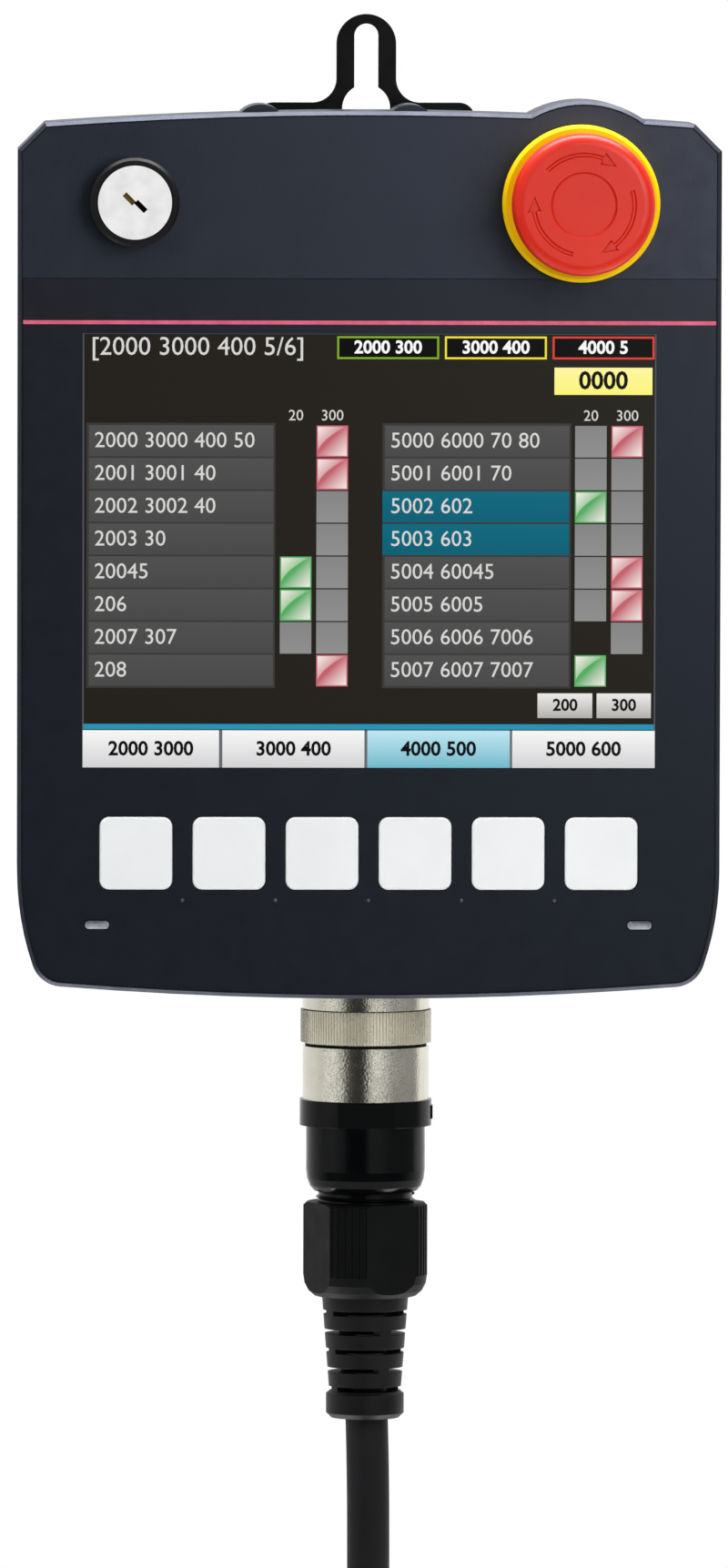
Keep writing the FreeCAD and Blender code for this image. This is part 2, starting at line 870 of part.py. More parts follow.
def cover_screw_places():
    length = size.battery_cover_length - 2 * size.boss_radius
    return [(bay_x, z) for z in around(bay_z, length)]


def grip_ridge(name, inset, y_span):
    """The rounded hand grip on the back; inset gives the hollow inside it."""
    width = size.ridge_width - 2 * inset
    span = (ridge_span[0] + inset, ridge_span[1] - inset)
    block = box(f"{name}_block", around(size.ridge_x, width), y_span, span)
    upright = softened(f"{name}_upright", block, size.ridge_corner - inset, along_axis("y"))
    rounding = size.ridge_rounding - inset
    return softened(name, upright, rounding, in_plane("y", y_span[1]))


def rear_case():
    shell = case_block("rear_shell", ZERO, (seam_y, ZERO), size.back_bevel, ZERO)
    hollow = case_block(
        "rear_hollow",
        size.side_wall,
        (seam_y - size.back_wall, inner_back_y),
        size.back_bevel - size.side_wall * (2 - math.sqrt(2)),
        inner_back_y,
    )
    tray = carved("rear_tray", shell, hollow)
    pillars = [
        bar_along_y("rear_pillar", size.boss_radius, x, z, (seam_y, inner_back_y))
        for x, z in boss_places()[2:]
    ]
    hump_end = -size.back_bevel / 2
    humps = [
        bar_along_y("rear_hump", size.hump_radius, x, z, (seam_y, hump_end))
        for x, z in boss_places()[:2]
    ]
    inserts = [
        bar_along_y("rear_insert", size.rear_boss_radius, x, z, (-size.rear_screw_length, inner_back_y))
        for x, z, level in rear_screw_places()
    ]
    bay = box(
        "bay_walls",
        around(bay_x, size.bay_width + 2 * size.bay_wall),
        (-size.bay_depth - size.bay_wall, inner_back_y),
        around(bay_z, size.battery_cover_length),
    )
    seat = box(
        "connector_seat",
        around(ZERO, 2 * size.seat_half_width),
        (seam_y, inner_back_y),
        (bottom_z + size.side_wall / 2, bottom_z + size.seat_rise),
    )
    relief_shell = box(
        "relief_shell",
        around(ZERO, size.relief_width + 2 * size.relief_wall),
        (-size.relief_depth - size.relief_wall, inner_back_y),
        (-size.relief_bottom - size.relief_wall, top_z - size.side_wall / 2),
    )
    solid = fused("rear_solid", tray, *pillars, *humps, *inserts, bay, seat, relief_shell)

    behind = size.back_wall
    cuts = [
        gasket_ring("rear_groove"),
        box("head_relief", around(ZERO, size.relief_width), (-size.relief_depth, behind),
            (-size.relief_bottom, ZERO)),
        box("battery_bay", around(bay_x, size.bay_width), (-size.bay_depth, behind),
            around(bay_z, size.bay_length)),
        rounded_block("cover_recess", bay_x, bay_z, size.battery_cover_width + 2 * size.fit_gap,
                      size.battery_cover_length + 2 * size.fit_gap,
                      size.battery_cover_corner + size.fit_gap, (-size.battery_cover_thickness, behind)),
        box("grip_switch_opening", around(size.ridge_x, size.grip_switch_width + 2 * size.fit_gap),
            (inner_back_y - size.back_wall, size.fit_gap),
            around(grip_switch_z, size.grip_switch_length + 2 * size.fit_gap)),
        bar_along_z("connector_hole", size.barrel_hole_radius, ZERO, connector_y,
                    (bottom_z - size.side_wall, bottom_z + 2 * size.seat_rise)),
    ]
    well_span = (-size.screw_well_depth, behind)
    for x, z in boss_places():
        cuts.append(bar_along_y("screw_hole", size.screw_hole_radius, x, z, (seam_y, ZERO)))
        cuts.append(bar_along_y("screw_well", size.screw_well_radius, x, z, well_span))
    for x, z, level in rear_screw_places():
        depth = (level - size.rear_screw_length, ZERO)
        cuts.append(bar_along_y("insert_hole", size.rear_screw_hole_radius, x, z, depth))
    for x, z in cover_screw_places():
        depth = (-size.battery_cover_thickness - size.small_screw_length, ZERO)
        cuts.append(bar_along_y("cover_hole", size.small_hole_radius, x, z, depth))
    for x, z in grip_screw_places():
        depth = (inner_back_y - size.back_wall, size.fit_gap)
        cuts.append(bar_along_y("grip_hole", size.small_hole_radius, x, z, depth))
    return node("rear_case", carved("rear_case_solid", solid, *cuts))


def rear_grip():
    """Hollow hand grip on the back, open for the lever, with two lugs for its pin."""
    shell = carved(
        "grip_shell",
        grip_ridge("ridge_outer", ZERO, (ZERO, size.ridge_depth)),
        grip_ridge("ridge_hollow", size.back_wall, (ZERO, ridge_inner_y)),
    )
    lug_reach = size.lever_width / 2 + size.hinge_lug_gap
    lug_outer = lug_reach + size.hinge_lug_width
    lug_y = (hinge_y - size.hinge_knuckle_radius, ridge_inner_y)
    lug_z = around(hinge_z, 2 * size.hinge_knuckle_radius)
    lugs = [
        box("hinge_lug", (size.ridge_x - lug_outer, size.ridge_x - lug_reach), lug_y, lug_z),
        box("hinge_lug", (size.ridge_x + lug_reach, size.ridge_x + lug_outer), lug_y, lug_z),
    ]
    opening = box(
        "lever_opening",
        around(size.ridge_x, size.lever_width + 2 * size.lever_side_gap),
        (ridge_inner_y - size.back_wall, size.ridge_depth + size.lever_swell),
        (lever_span[0] - size.lever_end_gap, lever_span[1] + size.lever_side_gap),
    )
    bore = bar_along_x("hinge_bore", size.hinge_hole_radius, hinge_y, hinge_z,
                       around(size.ridge_x, 2 * lug_outer))
    node("rear_grip", carved("rear_grip_solid", fused("grip_blank", shell, *lugs), opening, bore))


def front_sheet():
    """The printed sheet with the windows of screen, keys and lamps."""
    span = (front_y, sheet_back_y)
    field = sheet_block("sheet_field", size.sheet_inset + size.fit_gap, size.fit_gap, span)
    cuts = [box("screen_window", around(ZERO, window_width), through_front,
                around(window_z, size.window_height))]
    opening = size.key_size + 2 * size.fit_gap
    corner = size.key_corner + size.fit_gap
    for x in key_places():
        cuts.append(rounded_block("sheet_key", x, key_z, opening, opening, corner, through_front))
    for x in (-lamp_x, lamp_x):
        slot = (size.lamp_width + 2 * size.fit_gap, size.lamp_height + 2 * size.fit_gap)
        cuts.append(obround("sheet_lamp", x, lamp_z, *slot, through_front))
    return node("front_sheet", carved("front_sheet_solid", field, *cuts))


def display():
    """Touch panel, screen module, bracket, spacers and main board, front to back."""
    touch_width = window_width + 2 * size.touch_margin
    touch_height = size.window_height + 2 * size.touch_margin
    touch_span = (sheet_back_y, plate_back_y)
    touch = box("touch", around(ZERO, touch_width), touch_span, around(window_z, touch_height))
    node("touch_panel", touch)
    lcd = box(
        "lcd",
        around(ZERO, window_width + 2 * size.lcd_margin),
        (plate_back_y, lcd_back_y),
        around(window_z, size.window_height + 2 * size.lcd_margin),
    )
    node("screen_module", lcd)

    bracket_back_y = lcd_back_y + size.bracket_thickness
    spacer_back_y = bracket_back_y + size.spacer_height
    board_back_y = spacer_back_y + size.board_thickness
    plate_span = (lcd_back_y, bracket_back_y)
    bracket = box("bracket_plate", around(ZERO, 2 * (ear_x + size.ear_radius)), plate_span,
                  around(window_z, size.bracket_height))
    holes = [
        bar_along_y("bracket_hole", size.small_hole_radius, x, z, plate_span)
        for x, z in ear_places() + spacer_places()
    ]
    node("display_bracket", carved("display_bracket_solid", bracket, *holes))

    spacers = []
    for x, z in spacer_places():
        post = bar_along_y("spacer_post", size.spacer_radius, x, z, (bracket_back_y, spacer_back_y))
        bore = bar_along_y("spacer_bore", size.small_hole_radius, x, z, (bracket_back_y, spacer_back_y))
        spacers.append(carved("spacer", post, bore))
    node("board_spacers", gathered("board_spacer_set", *spacers))

    board_span = (spacer_back_y, board_back_y)
    board = box("board_plate", around(ZERO, size.board_width), board_span,
                around(window_z, size.board_height))
    board_holes = [
        bar_along_y("board_hole", size.small_hole_radius, x, z, board_span) for x, z in spacer_places()
    ]
    node("main_board", carved("main_board_solid", board, *board_holes))
    chip_span = (board_back_y, board_back_y + size.chip_height)
    chip = size.chip_size
    column = size.board_width / 5
    chips = [
        box("processor", around(-column, chip), chip_span, around(window_z, chip)),
        box("memory", around(column, chip / 2), chip_span, around(window_z + chip / 2, chip * 0.7)),
        box("driver", around(column, chip), chip_span, around(window_z - chip, chip / 2)),
    ]
    node("board_chips", gathered("board_chip_set", *chips))

    screws = []
    for x, z in ear_places():
        screws.append(small_screw(x, bracket_back_y, z))
    for x, z in spacer_places():
        screws.append(small_screw(x, board_back_y, z))
    for x, z in key_post_places():
        screws.append(small_screw(x, key_board_y + size.board_thickness, z))
    for x, z in grip_screw_places():
        screws.append(small_screw(x, size.grip_flange_thickness, z))
    for x, z in cover_screw_places():
        screws.append(small_screw(x, ZERO, z))
    node("small_screws", gathered("small_screw_set", *screws))


def small_screw(x, y, z):
    """A pan screw whose head sits on the level y and whose shank runs forward."""
    profile = [
        (ZERO, -size.small_screw_length),
        (size.small_screw_radius, -size.small_screw_length),
        (size.small_screw_radius, ZERO),
        (size.small_head_radius, ZERO),
        (size.small_head_radius, size.small_head_height * 0.6),
        (size.small_head_radius * 0.7, size.small_head_height),
        (ZERO, size.small_head_height),
    ]
    return turned("small_screw", "Y", profile, x, y, z)


def case_screws():
    """Six screws that join the cases from behind, in wells of the rear case."""
    end = seam_y + size.screw_well_depth - size.screw_grip
    profile = [
        (ZERO, end),
        (size.screw_radius, end),
        (size.screw_radius, ZERO),
        (size.screw_head_radius, ZERO),
        (size.screw_head_radius, size.screw_head_height),
        (ZERO, size.screw_head_height),
    ]
    screws = [
        turned("case_screw", "Y", profile, x, -size.screw_well_depth, z) for x, z in boss_places()
    ]
    node("case_screws", gathered("case_screw_set", *screws))


def rear_screws():
    """Pan screws of the hanger and of the strap clamps."""
    profile = [
        (ZERO, size.fit_gap - size.rear_screw_length),
        (size.rear_screw_radius, size.fit_gap - size.rear_screw_length),
        (size.rear_screw_radius, ZERO),
        (size.rear_screw_head_radius, ZERO),
        (size.rear_screw_head_radius, size.rear_screw_head_height * 0.5),
        (size.rear_screw_head_radius * 0.7, size.rear_screw_head_height),
        (ZERO, size.rear_screw_head_height),
    ]
    screws = [
        turned("rear_screw", "Y", profile, x, level, z) for x, z, level in rear_screw_places()
    ]
    node("rear_screws", gathered("rear_screw_set", *screws))


def function_keys():
    """Six keys, each a cap in its opening with a flange behind the front wall."""
    cap_span = (front_y - size.key_proud, key_flange_y)
    flange_width = size.key_size + 2 * size.key_flange_lip
    switches = []
    for i, x in enumerate(key_places(), start=1):
        cap = rounded_block(f"cap_{i}", x, key_z, size.key_size, size.key_size, size.key_corner, cap_span)
        cap = softened(f"cap_edge_{i}", cap, size.key_edge, in_plane("y", cap_span[0]))
        flange = box(f"flange_{i}", around(x, flange_width), (key_flange_y, key_flange_back_y),
                     around(key_z, flange_width))
        node(f"key_{i}", fused(f"key_{i}_solid", cap, flange))
        switches.append(box("key_contact", around(x, size.key_switch_size), (key_switch_y, key_board_y),
                            around(key_z, size.key_switch_size)))
    node("key_contacts", gathered("key_contact_set", *switches))

    board_back_y = key_board_y + size.board_thickness
    board_span = (key_board_y, board_back_y)
    board = box(
        "key_board_plate",
        around(ZERO, size.case_width - 2 * size.key_board_edge),
        board_span,
        (bottom_z + size.key_board_bottom_rise, bottom_z + size.key_board_top_rise),
    )
    holes = [
        bar_along_y("key_board_hole", size.small_hole_radius, x, z, board_span)
        for x, z in key_post_places()
    ]
    node("key_board", carved("key_board_solid", board, *holes))


def lamps():
    """Two lamp windows, each a light guide with a lip behind the wall and a chip on the board."""
    chip_y = key_board_y - size.lamp_chip_height
    chips = []
    for name, x in (("power_lamp_window", -lamp_x), ("grip_lamp_window", lamp_x)):
        guide = obround(f"{name}_guide", x, lamp_z, size.lamp_width, size.lamp_height,
                        (front_y, chip_y - size.fit_gap))
        lip = obround(f"{name}_lip", x, lamp_z, size.lamp_width + 2 * size.key_flange_lip,
                      size.lamp_height + 2 * size.key_flange_lip, (plate_back_y, key_flange_back_y))
        node(name, fused(f"{name}_solid", guide, lip))
        chips.append(box("lamp_chip", around(x, size.lamp_width / 2), (chip_y, key_board_y),
                         around(lamp_z, size.lamp_height)))
    node("lamp_chips", gathered("lamp_chip_set", *chips))


def emergency_stop():
    """Push-to-lock, twist-to-release stop button with a yellow bezel."""
    ring_front = front_y - size.estop_ring_height
    well_floor = ring_front + size.estop_well_depth
    bush_end = front_y + size.bush_length
    bore = size.estop_stem_radius + size.fit_gap
    bezel = turned(
        "estop_bezel_body",
        "Y",
        [
            (bore, well_floor),
            (size.estop_well_radius, well_floor),
            (size.estop_well_radius, ring_front),
            (size.estop_ring_radius - size.estop_ring_bevel, ring_front),
            (size.estop_ring_radius, ring_front + size.estop_ring_bevel),
            (size.estop_ring_radius, front_y),
            (size.bush_radius, front_y),
            (size.bush_radius, bush_end),
            (bore, bush_end),
        ],
        estop_x, ZERO, estop_z,
    )
    node("estop_bezel", bezel)

    head_front = front_y - size.estop_head_reach
    head_back = head_front + size.estop_head_height
    skirt_back = head_back + size.estop_skirt_height
    socket_floor = skirt_back - size.estop_socket_depth
    dish_floor = head_front + size.estop_dish_depth
    head = turned(
        "estop_head_body",
        "Y",
        [
            (ZERO, dish_floor),
            (size.estop_dish_radius, dish_floor),
            (size.estop_dish_radius, head_front),
            (size.estop_head_radius, head_front),
            (size.estop_head_radius, head_back),
            (size.estop_skirt_radius, head_back),
            (size.estop_skirt_radius, skirt_back),
            (size.estop_stem_radius + size.running_fit, skirt_back),
            (size.estop_stem_radius + size.running_fit, socket_floor),
            (ZERO, socket_floor),
        ],
        estop_x, ZERO, estop_z,
    )
    front_edge = ring_edge("y", head_front, size.estop_head_radius)
    node("estop_head", round_body_edges(head, "estop_head_round", size.estop_head_rounding, front_edge))

    stem_end = bush_end + size.estop_travel
    stem = bar_along_y("estop_stem_bar", size.estop_stem_radius, estop_x, estop_z,
                       (socket_floor, stem_end))
    node("estop_stem", stem)
    node("estop_nut", panel_nut("estop_nut", estop_x, estop_z))

    block = box("estop_block", around(estop_x, size.estop_block_size),
                (bush_end, bush_end + size.estop_block_depth), around(estop_z, size.estop_block_size))
    well = bar_along_y("estop_block_well", bore, estop_x, estop_z,
                       (bush_end, stem_end + size.estop_travel + size.running_gap))
    node("estop_contact_block", carved("estop_contact_block_solid", block, well))


def panel_nut(name, x, z):
    """A round nut on the bush, against the back of the front wall."""
    span = (plate_back_y, plate_back_y + size.nut_height)
    nut = bar_along_y(f"{name}_disc", size.nut_radius, x, z, span)
    bore = bar_along_y(f"{name}_bore", size.bush_radius, x, z, span)
    return carved(f"{name}_ring", nut, bore)


def key_switch():
    """Key-operated switch: bezel with bush, turning face with keyway, nut and contact block."""
    bezel_front = front_y - size.lock_bezel_height
    face_front = bezel_front - size.lock_face_proud
    face_back = face_front + size.lock_face_height
    bush_end = front_y + size.bush_length
    face_bore = size.lock_face_radius + size.fit_gap
    barrel_bore = size.lock_barrel_radius + size.fit_gap
    bezel = turned(
        "lock_bezel_body",
        "Y",
        [
            (barrel_bore, face_back + size.fit_gap),
            (face_bore, face_back + size.fit_gap),
            (face_bore, bezel_front),
            (size.lock_bezel_front_radius, bezel_front),
            (size.lock_bezel_radius, bezel_front + size.estop_ring_bevel),
            (size.lock_bezel_radius, front_y),
            (size.bush_radius, front_y),
            (size.bush_radius, bush_end),
            (barrel_bore, bush_end),
        ],
        lock_x, ZERO, lock_z,
    )
    node("key_switch_bezel", bezel)

    rotor = turned(
        "key_rotor_body",
        "Y",
        [
            (ZERO, face_front),
            (size.lock_face_radius, face_front),
            (size.lock_face_radius, face_back),
            (size.lock_barrel_radius, face_back),
            (size.lock_barrel_radius, bush_end),
            (ZERO, bush_end),
        ],
        lock_x, ZERO, lock_z,
    )
    keyway_floor = face_front + size.keyway_depth
    turn = Rotation(Vector(0, 1, 0), SIZES["keyway_angle"])
    upper = keyway_bar("keyway_upper", ZERO, size.keyway_length / 2, size.keyway_step, turn,
                       (face_front, keyway_floor))
    lower = keyway_bar("keyway_lower", -size.keyway_length / 2, ZERO, -size.keyway_step, turn,
                       (face_front, keyway_floor))
    node("key_rotor", carved("key_rotor_solid", rotor, upper, lower))

    wafer_front = keyway_floor - size.wafer_thickness
    wafer = keyway_bar("wafer_bar", -size.keyway_length / 2, ZERO, -size.keyway_step, turn,
                       (wafer_front, keyway_floor))
    node("key_wafer", wafer)
    node("key_switch_nut", panel_nut("key_switch_nut", lock_x, lock_z))
    block = box("lock_block", around(lock_x, size.lock_block_size),
                (bush_end + size.fit_gap, bush_end + size.fit_gap + size.lock_block_depth),
                around(lock_z, size.lock_block_size))
    node("key_switch_block", block)


def keyway_bar(name, start, end, offset, turn, y_span):
    """One half of the stepped keyway, turned about the lock's axis."""
    item = doc.addObject("Part::Box", name)
    item.setExpression("Length", (end - start).text)
    item.setExpression("Width", (y_span[1] - y_span[0]).text)
    item.setExpression("Height", size.keyway_width.text)
    corner = Vector(start.value, y_span[0].value, (offset - size.keyway_width / 2).value)
    centre = Vector(lock_x.value, 0, lock_z.value)
    item.Placement = Placement(centre + turn.multVec(corner), turn)
    return item


def hanger():
    """Flat hanger plate with a keyhole: entry hole, slot and seat."""
    span = (ZERO, size.hanger_thickness)
    half = size.hanger_width / 2
    arch_z = size.hanger_top_rise - half
    foot_span = (-size.hanger_foot_bottom, -size.hanger_foot_top)
    foot = box("hanger_foot", around(ZERO, size.hanger_foot_width), span, foot_span)
    foot = softened("hanger_foot_round", foot, size.hanger_foot_corner, along_axis("y"))
    neck_bottom = size.hanger_foot_corner - size.hanger_foot_bottom
    neck = box("hanger_neck", (-half, half), span, (neck_bottom, arch_z))
    arch = bar_along_y("hanger_arch", half, ZERO, arch_z, span)
    plate = fused("hanger_blank", foot, neck, arch)

    def in_the_flare(edge):
        if not along_axis("y")(edge):
            return False
        point = edge.Vertexes[0].Point
        return abs(abs(point.x) - half.value) < 1e-5 and abs(point.z + size.hanger_foot_top.value) < 1e-5

    plate = softened("hanger_flared", plate, size.hanger_flare, in_the_flare)
    slot_half = size.hanger_slot_width / 2
    cuts = [
        bar_along_y("keyhole", size.keyhole_radius, ZERO, -size.keyhole_drop, span),
        box("hanger_slot", (-slot_half, slot_half), span, (-size.keyhole_drop, ZERO)),
        bar_along_y("hanger_seat", slot_half, ZERO, ZERO, span),
    ]
    hole_radius = size.rear_screw_hole_radius
    for x in (-size.hanger_screw_x, size.hanger_screw_x):
        cuts.append(bar_along_y("hanger_hole", hole_radius, x, -size.hanger_screw_drop, span))
    node("hanger_plate", carved("hanger_plate_solid", plate, *cuts))


def enabling_grip():
    """Hinged lever in the back grip, its pin, and the switch with the plunger it presses."""
    swell_y = size.ridge_depth + size.lever_swell
    knuckle = size.hinge_knuckle_radius
    lever_x = size.ridge_x - size.lever_width / 2
    side = padded(
        "lever_body",
        "YZ_Plane",
        [
            (lever_back_y, lever_span[0]),
            (swell_y - size.lever_edge_rounding, lever_span[0]),
            (swell_y, lever_span[0] + 2 * size.lever_edge_rounding),
            (swell_y, lever_span[0] + size.lever_width),
            (size.ridge_depth, lever_span[1] - size.lever_edge_rounding),
            (size.ridge_depth - size.lever_edge_rounding, lever_span[1]),
            (lever_back_y, lever_span[1]),
        ],
        lever_x,
        size.lever_width,
    )
    barrel = bar_along_x("lever_knuckle", knuckle, hinge_y, hinge_z, (lever_x, lever_x + size.lever_width))
    bore = bar_along_x("lever_bore", size.hinge_hole_radius, hinge_y, hinge_z,
                       (lever_x - knuckle, lever_x + size.lever_width + knuckle))
    node("grip_lever", carved("grip_lever_solid", fused("lever_blank", side, barrel), bore))

    reach = size.lever_width / 2 + size.hinge_lug_gap + size.hinge_lug_width
    pin = bar_along_x("grip_pin_bar", size.hinge_pin_radius, hinge_y, hinge_z,
                      (size.ridge_x - reach, size.ridge_x + reach))
    node("grip_pin", pin)

    body = box("grip_switch_box", around(size.ridge_x, size.grip_switch_width),
               (-size.grip_switch_depth, size.grip_switch_top),
               around(grip_switch_z, size.grip_switch_length))
    flange = box("grip_switch_flange", around(size.ridge_x, size.grip_switch_width),
                 (ZERO, size.grip_flange_thickness), around(grip_switch_z, size.grip_flange_length))
    plunger_end = -size.grip_plunger_depth / 3
    well = bar_along_y("plunger_well", size.grip_plunger_radius + size.fit_gap, size.ridge_x, grip_switch_z,
                       (plunger_end - size.grip_plunger_depth, size.grip_switch_top))
    holes = [
        bar_along_y("flange_hole", size.small_hole_radius, x, z, (ZERO, size.grip_flange_thickness))
        for x, z in grip_screw_places()
    ]
    node("grip_switch", carved("grip_switch_solid", fused("grip_switch_blank", body, flange), well, *holes))
    plunger_tip = lever_back_y - size.running_gap
    plunger = bar_along_y("grip_plunger_bar", size.grip_plunger_radius, size.ridge_x, grip_switch_z,
                          (plunger_end, plunger_tip))
    tip_edge = in_plane("y", plunger_tip)
    node("grip_plunger", softened("grip_plunger_round", plunger, size.grip_plunger_rounding, tip_edge))


def rounded_path(points, bend=None):
    """Straight runs joined by tangent arcs: of one radius, or as large as two runs allow."""
    edges = []
    radii = []
    last = points[0]
    for before, corner, after in zip(points, points[1:], points[2:]):
        run_in, run_out = corner - before, after - corner
        turn = run_in.getAngle(run_out)
        cut = 0.45 * min(run_in.Length, run_out.Length)
        if bend is not None:
            cut = bend * math.tan(turn / 2)
        start = corner - run_in * (cut / run_in.Length)
        end = corner + run_out * (cut / run_out.Length)
        radius = cut / math.tan(turn / 2)
        inward = (start - corner) + (end - corner)
        middle = corner + inward * ((radius / math.cos(turn / 2) - radius) / inward.Length)
        edges.append(Part.LineSegment(last, start).toShape())
        edges.append(Part.Arc(start, middle, end).toShape())
        radii.append(radius)
        last = end
    edges.append(Part.LineSegment(last, points[-1]).toShape())
    return Part.Wire(edges), radii


def hand_strap():
    """Padded strap over the hand: tabs under the clamps and an arch between them."""
    rest = size.strap_thickness.value / 2
    arch = size.strap_arch.value
    run, bend = size.strap_rise_run.value, size.strap_bend.value
    top, bottom = -size.strap_top.value, -size.strap_bottom.value
    x = strap_x.value
    bend_cut = bend * math.tan(math.atan2(arch - rest, run) / 2)
    tab = (size.clamp_height + 2 * size.clamp_inset).value + bend_cut
    points = [
        Vector(x, rest, top),
        Vector(x, rest, top - tab),
        Vector(x, arch, top - tab - run),
        Vector(x, arch, bottom + tab + run),
        Vector(x, rest, bottom + tab),
        Vector(x, rest, bottom),
    ]
    path = rounded_path(points, bend)[0]
    half = size.strap_width.value / 2
    corners = [
        Vector(x - half, 0, top),
        Vector(x + half, 0, top),
        Vector(x + half, 2 * rest, top),
        Vector(x - half, 2 * rest, top),
    ]
    section = Part.makePolygon(corners + corners[:1])
    band = doc.addObject("Part::Feature", "strap_band")
    band.Shape = path.makePipeShell([section], True, False)
    holes = [
        bar_along_y("strap_hole", size.rear_screw_hole_radius, *spot[:2], (ZERO, size.strap_thickness))
        for spot in rear_screw_places()[2:]
    ]
    node("hand_strap", carved("hand_strap_solid", band, *holes))

    clamp_span = (size.strap_thickness, size.strap_thickness + size.clamp_thickness)
    for name, z in zip(("strap_clamp_upper", "strap_clamp_lower"), clamp_places):
        plate = rounded_block(f"{name}_plate", strap_x, z, size.clamp_width, size.clamp_height,
                              size.hanger_foot_corner, clamp_span)
        holes = [
            bar_along_y(f"{name}_hole", size.rear_screw_hole_radius, x, z, clamp_span)
            for x in around(strap_x, size.clamp_screw_spacing)
        ]
        node(name, carved(f"{name}_solid", plate, *holes))


def battery():
    """Backup battery in its bay, under a screwed cover flush with the back."""
    cell = bar_along_z("cell", size.battery_radius, bay_x,
                       -size.bay_depth + size.battery_radius + size.fit_gap,
                       around(bay_z, size.battery_length))
    node("backup_battery", cell)
    cover_span = (-size.battery_cover_thickness, ZERO)
    plate = rounded_block("cover_plate", bay_x, bay_z, size.battery_cover_width,
                          size.battery_cover_length, size.battery_cover_corner, cover_span)
    holes = [
        bar_along_y("cover_plate_hole", size.small_hole_radius, x, z, cover_span)
        for x, z in cover_screw_places()
    ]
    node("battery_cover", carved("battery_cover_solid", plate, *holes))


def z_turned(name, profile):
    """A connector piece turned about the connector's axis; levels are depths below the origin."""
    return turned(name, "Z", [(radius, -depth) for radius, depth in profile], ZERO, connector_y, ZERO)


def shoulder(start, end, steps=4):
    """Points of a quarter curve that leaves the first point straight down and ends at the second."""
    points = []
    for i in range(1, steps + 1):
        turn = math.pi / 2 * i / steps
        radius = end[0] + (start[0] - end[0]) * math.cos(turn)
        points.append((radius, start[1] + (end[1] - start[1]) * math.sin(turn)))
    return points


def receptacle():
    """Panel half of the connector: inner flange on its seat, barrel, and the collar outside."""
    seat_depth = -(bottom_z + size.seat_rise)
    flange_top = seat_depth - size.inner_flange_height
    stub_top = flange_top - size.inner_stub_height
    case_bottom = -bottom_z
    shell = z_turned(
        "receptacle_body",
        [
            (ZERO, stub_top),
            (size.barrel_bore_radius, stub_top),
            (size.barrel_bore_radius, flange_top),
            (size.inner_flange_radius, flange_top),
            (size.inner_flange_radius, seat_depth),
            (size.barrel_radius, seat_depth),
            (size.barrel_radius, size.barrel_bottom),
            (size.barrel_bore_radius, size.barrel_bottom),
            (size.barrel_bore_radius, size.insert_top - size.fit_gap),
            (ZERO, size.insert_top - size.fit_gap),
        ],
    )
    node("receptacle", shell)
    collar = z_turned(
        "receptacle_collar_body",
        [
            (size.barrel_radius, case_bottom),
            (size.collar_radius, case_bottom),
            (size.collar_radius, size.collar_bottom),
            (size.barrel_radius, size.collar_bottom),
        ],
    )
    node("receptacle_collar", collar)


def knurled(name, profile):
    """A turned ring whose outside is cut into straight ridges."""
    blank = z_turned(f"{name}_blank", profile)
    top, bottom = size.collar_bottom.value, size.ring_bottom.value
    count = int(SIZES["ring_ridges"])
    reach = (size.ring_radius.value, size.ring_root_radius.value)
    corners = []
    for i in range(2 * count + 1):
        turn = math.pi * i / count
        radius = reach[i % 2]
        across, deep = radius * math.cos(turn), radius * math.sin(turn)
        corners.append(Vector(across, deep + connector_y.value, -bottom))
    star = Part.Face(Part.makePolygon(corners)).extrude(Vector(0, 0, bottom - top))
    ridges = doc.addObject("Part::Feature", f"{name}_ridges")
    ridges.Shape = star
    return common(name, blank, ridges)


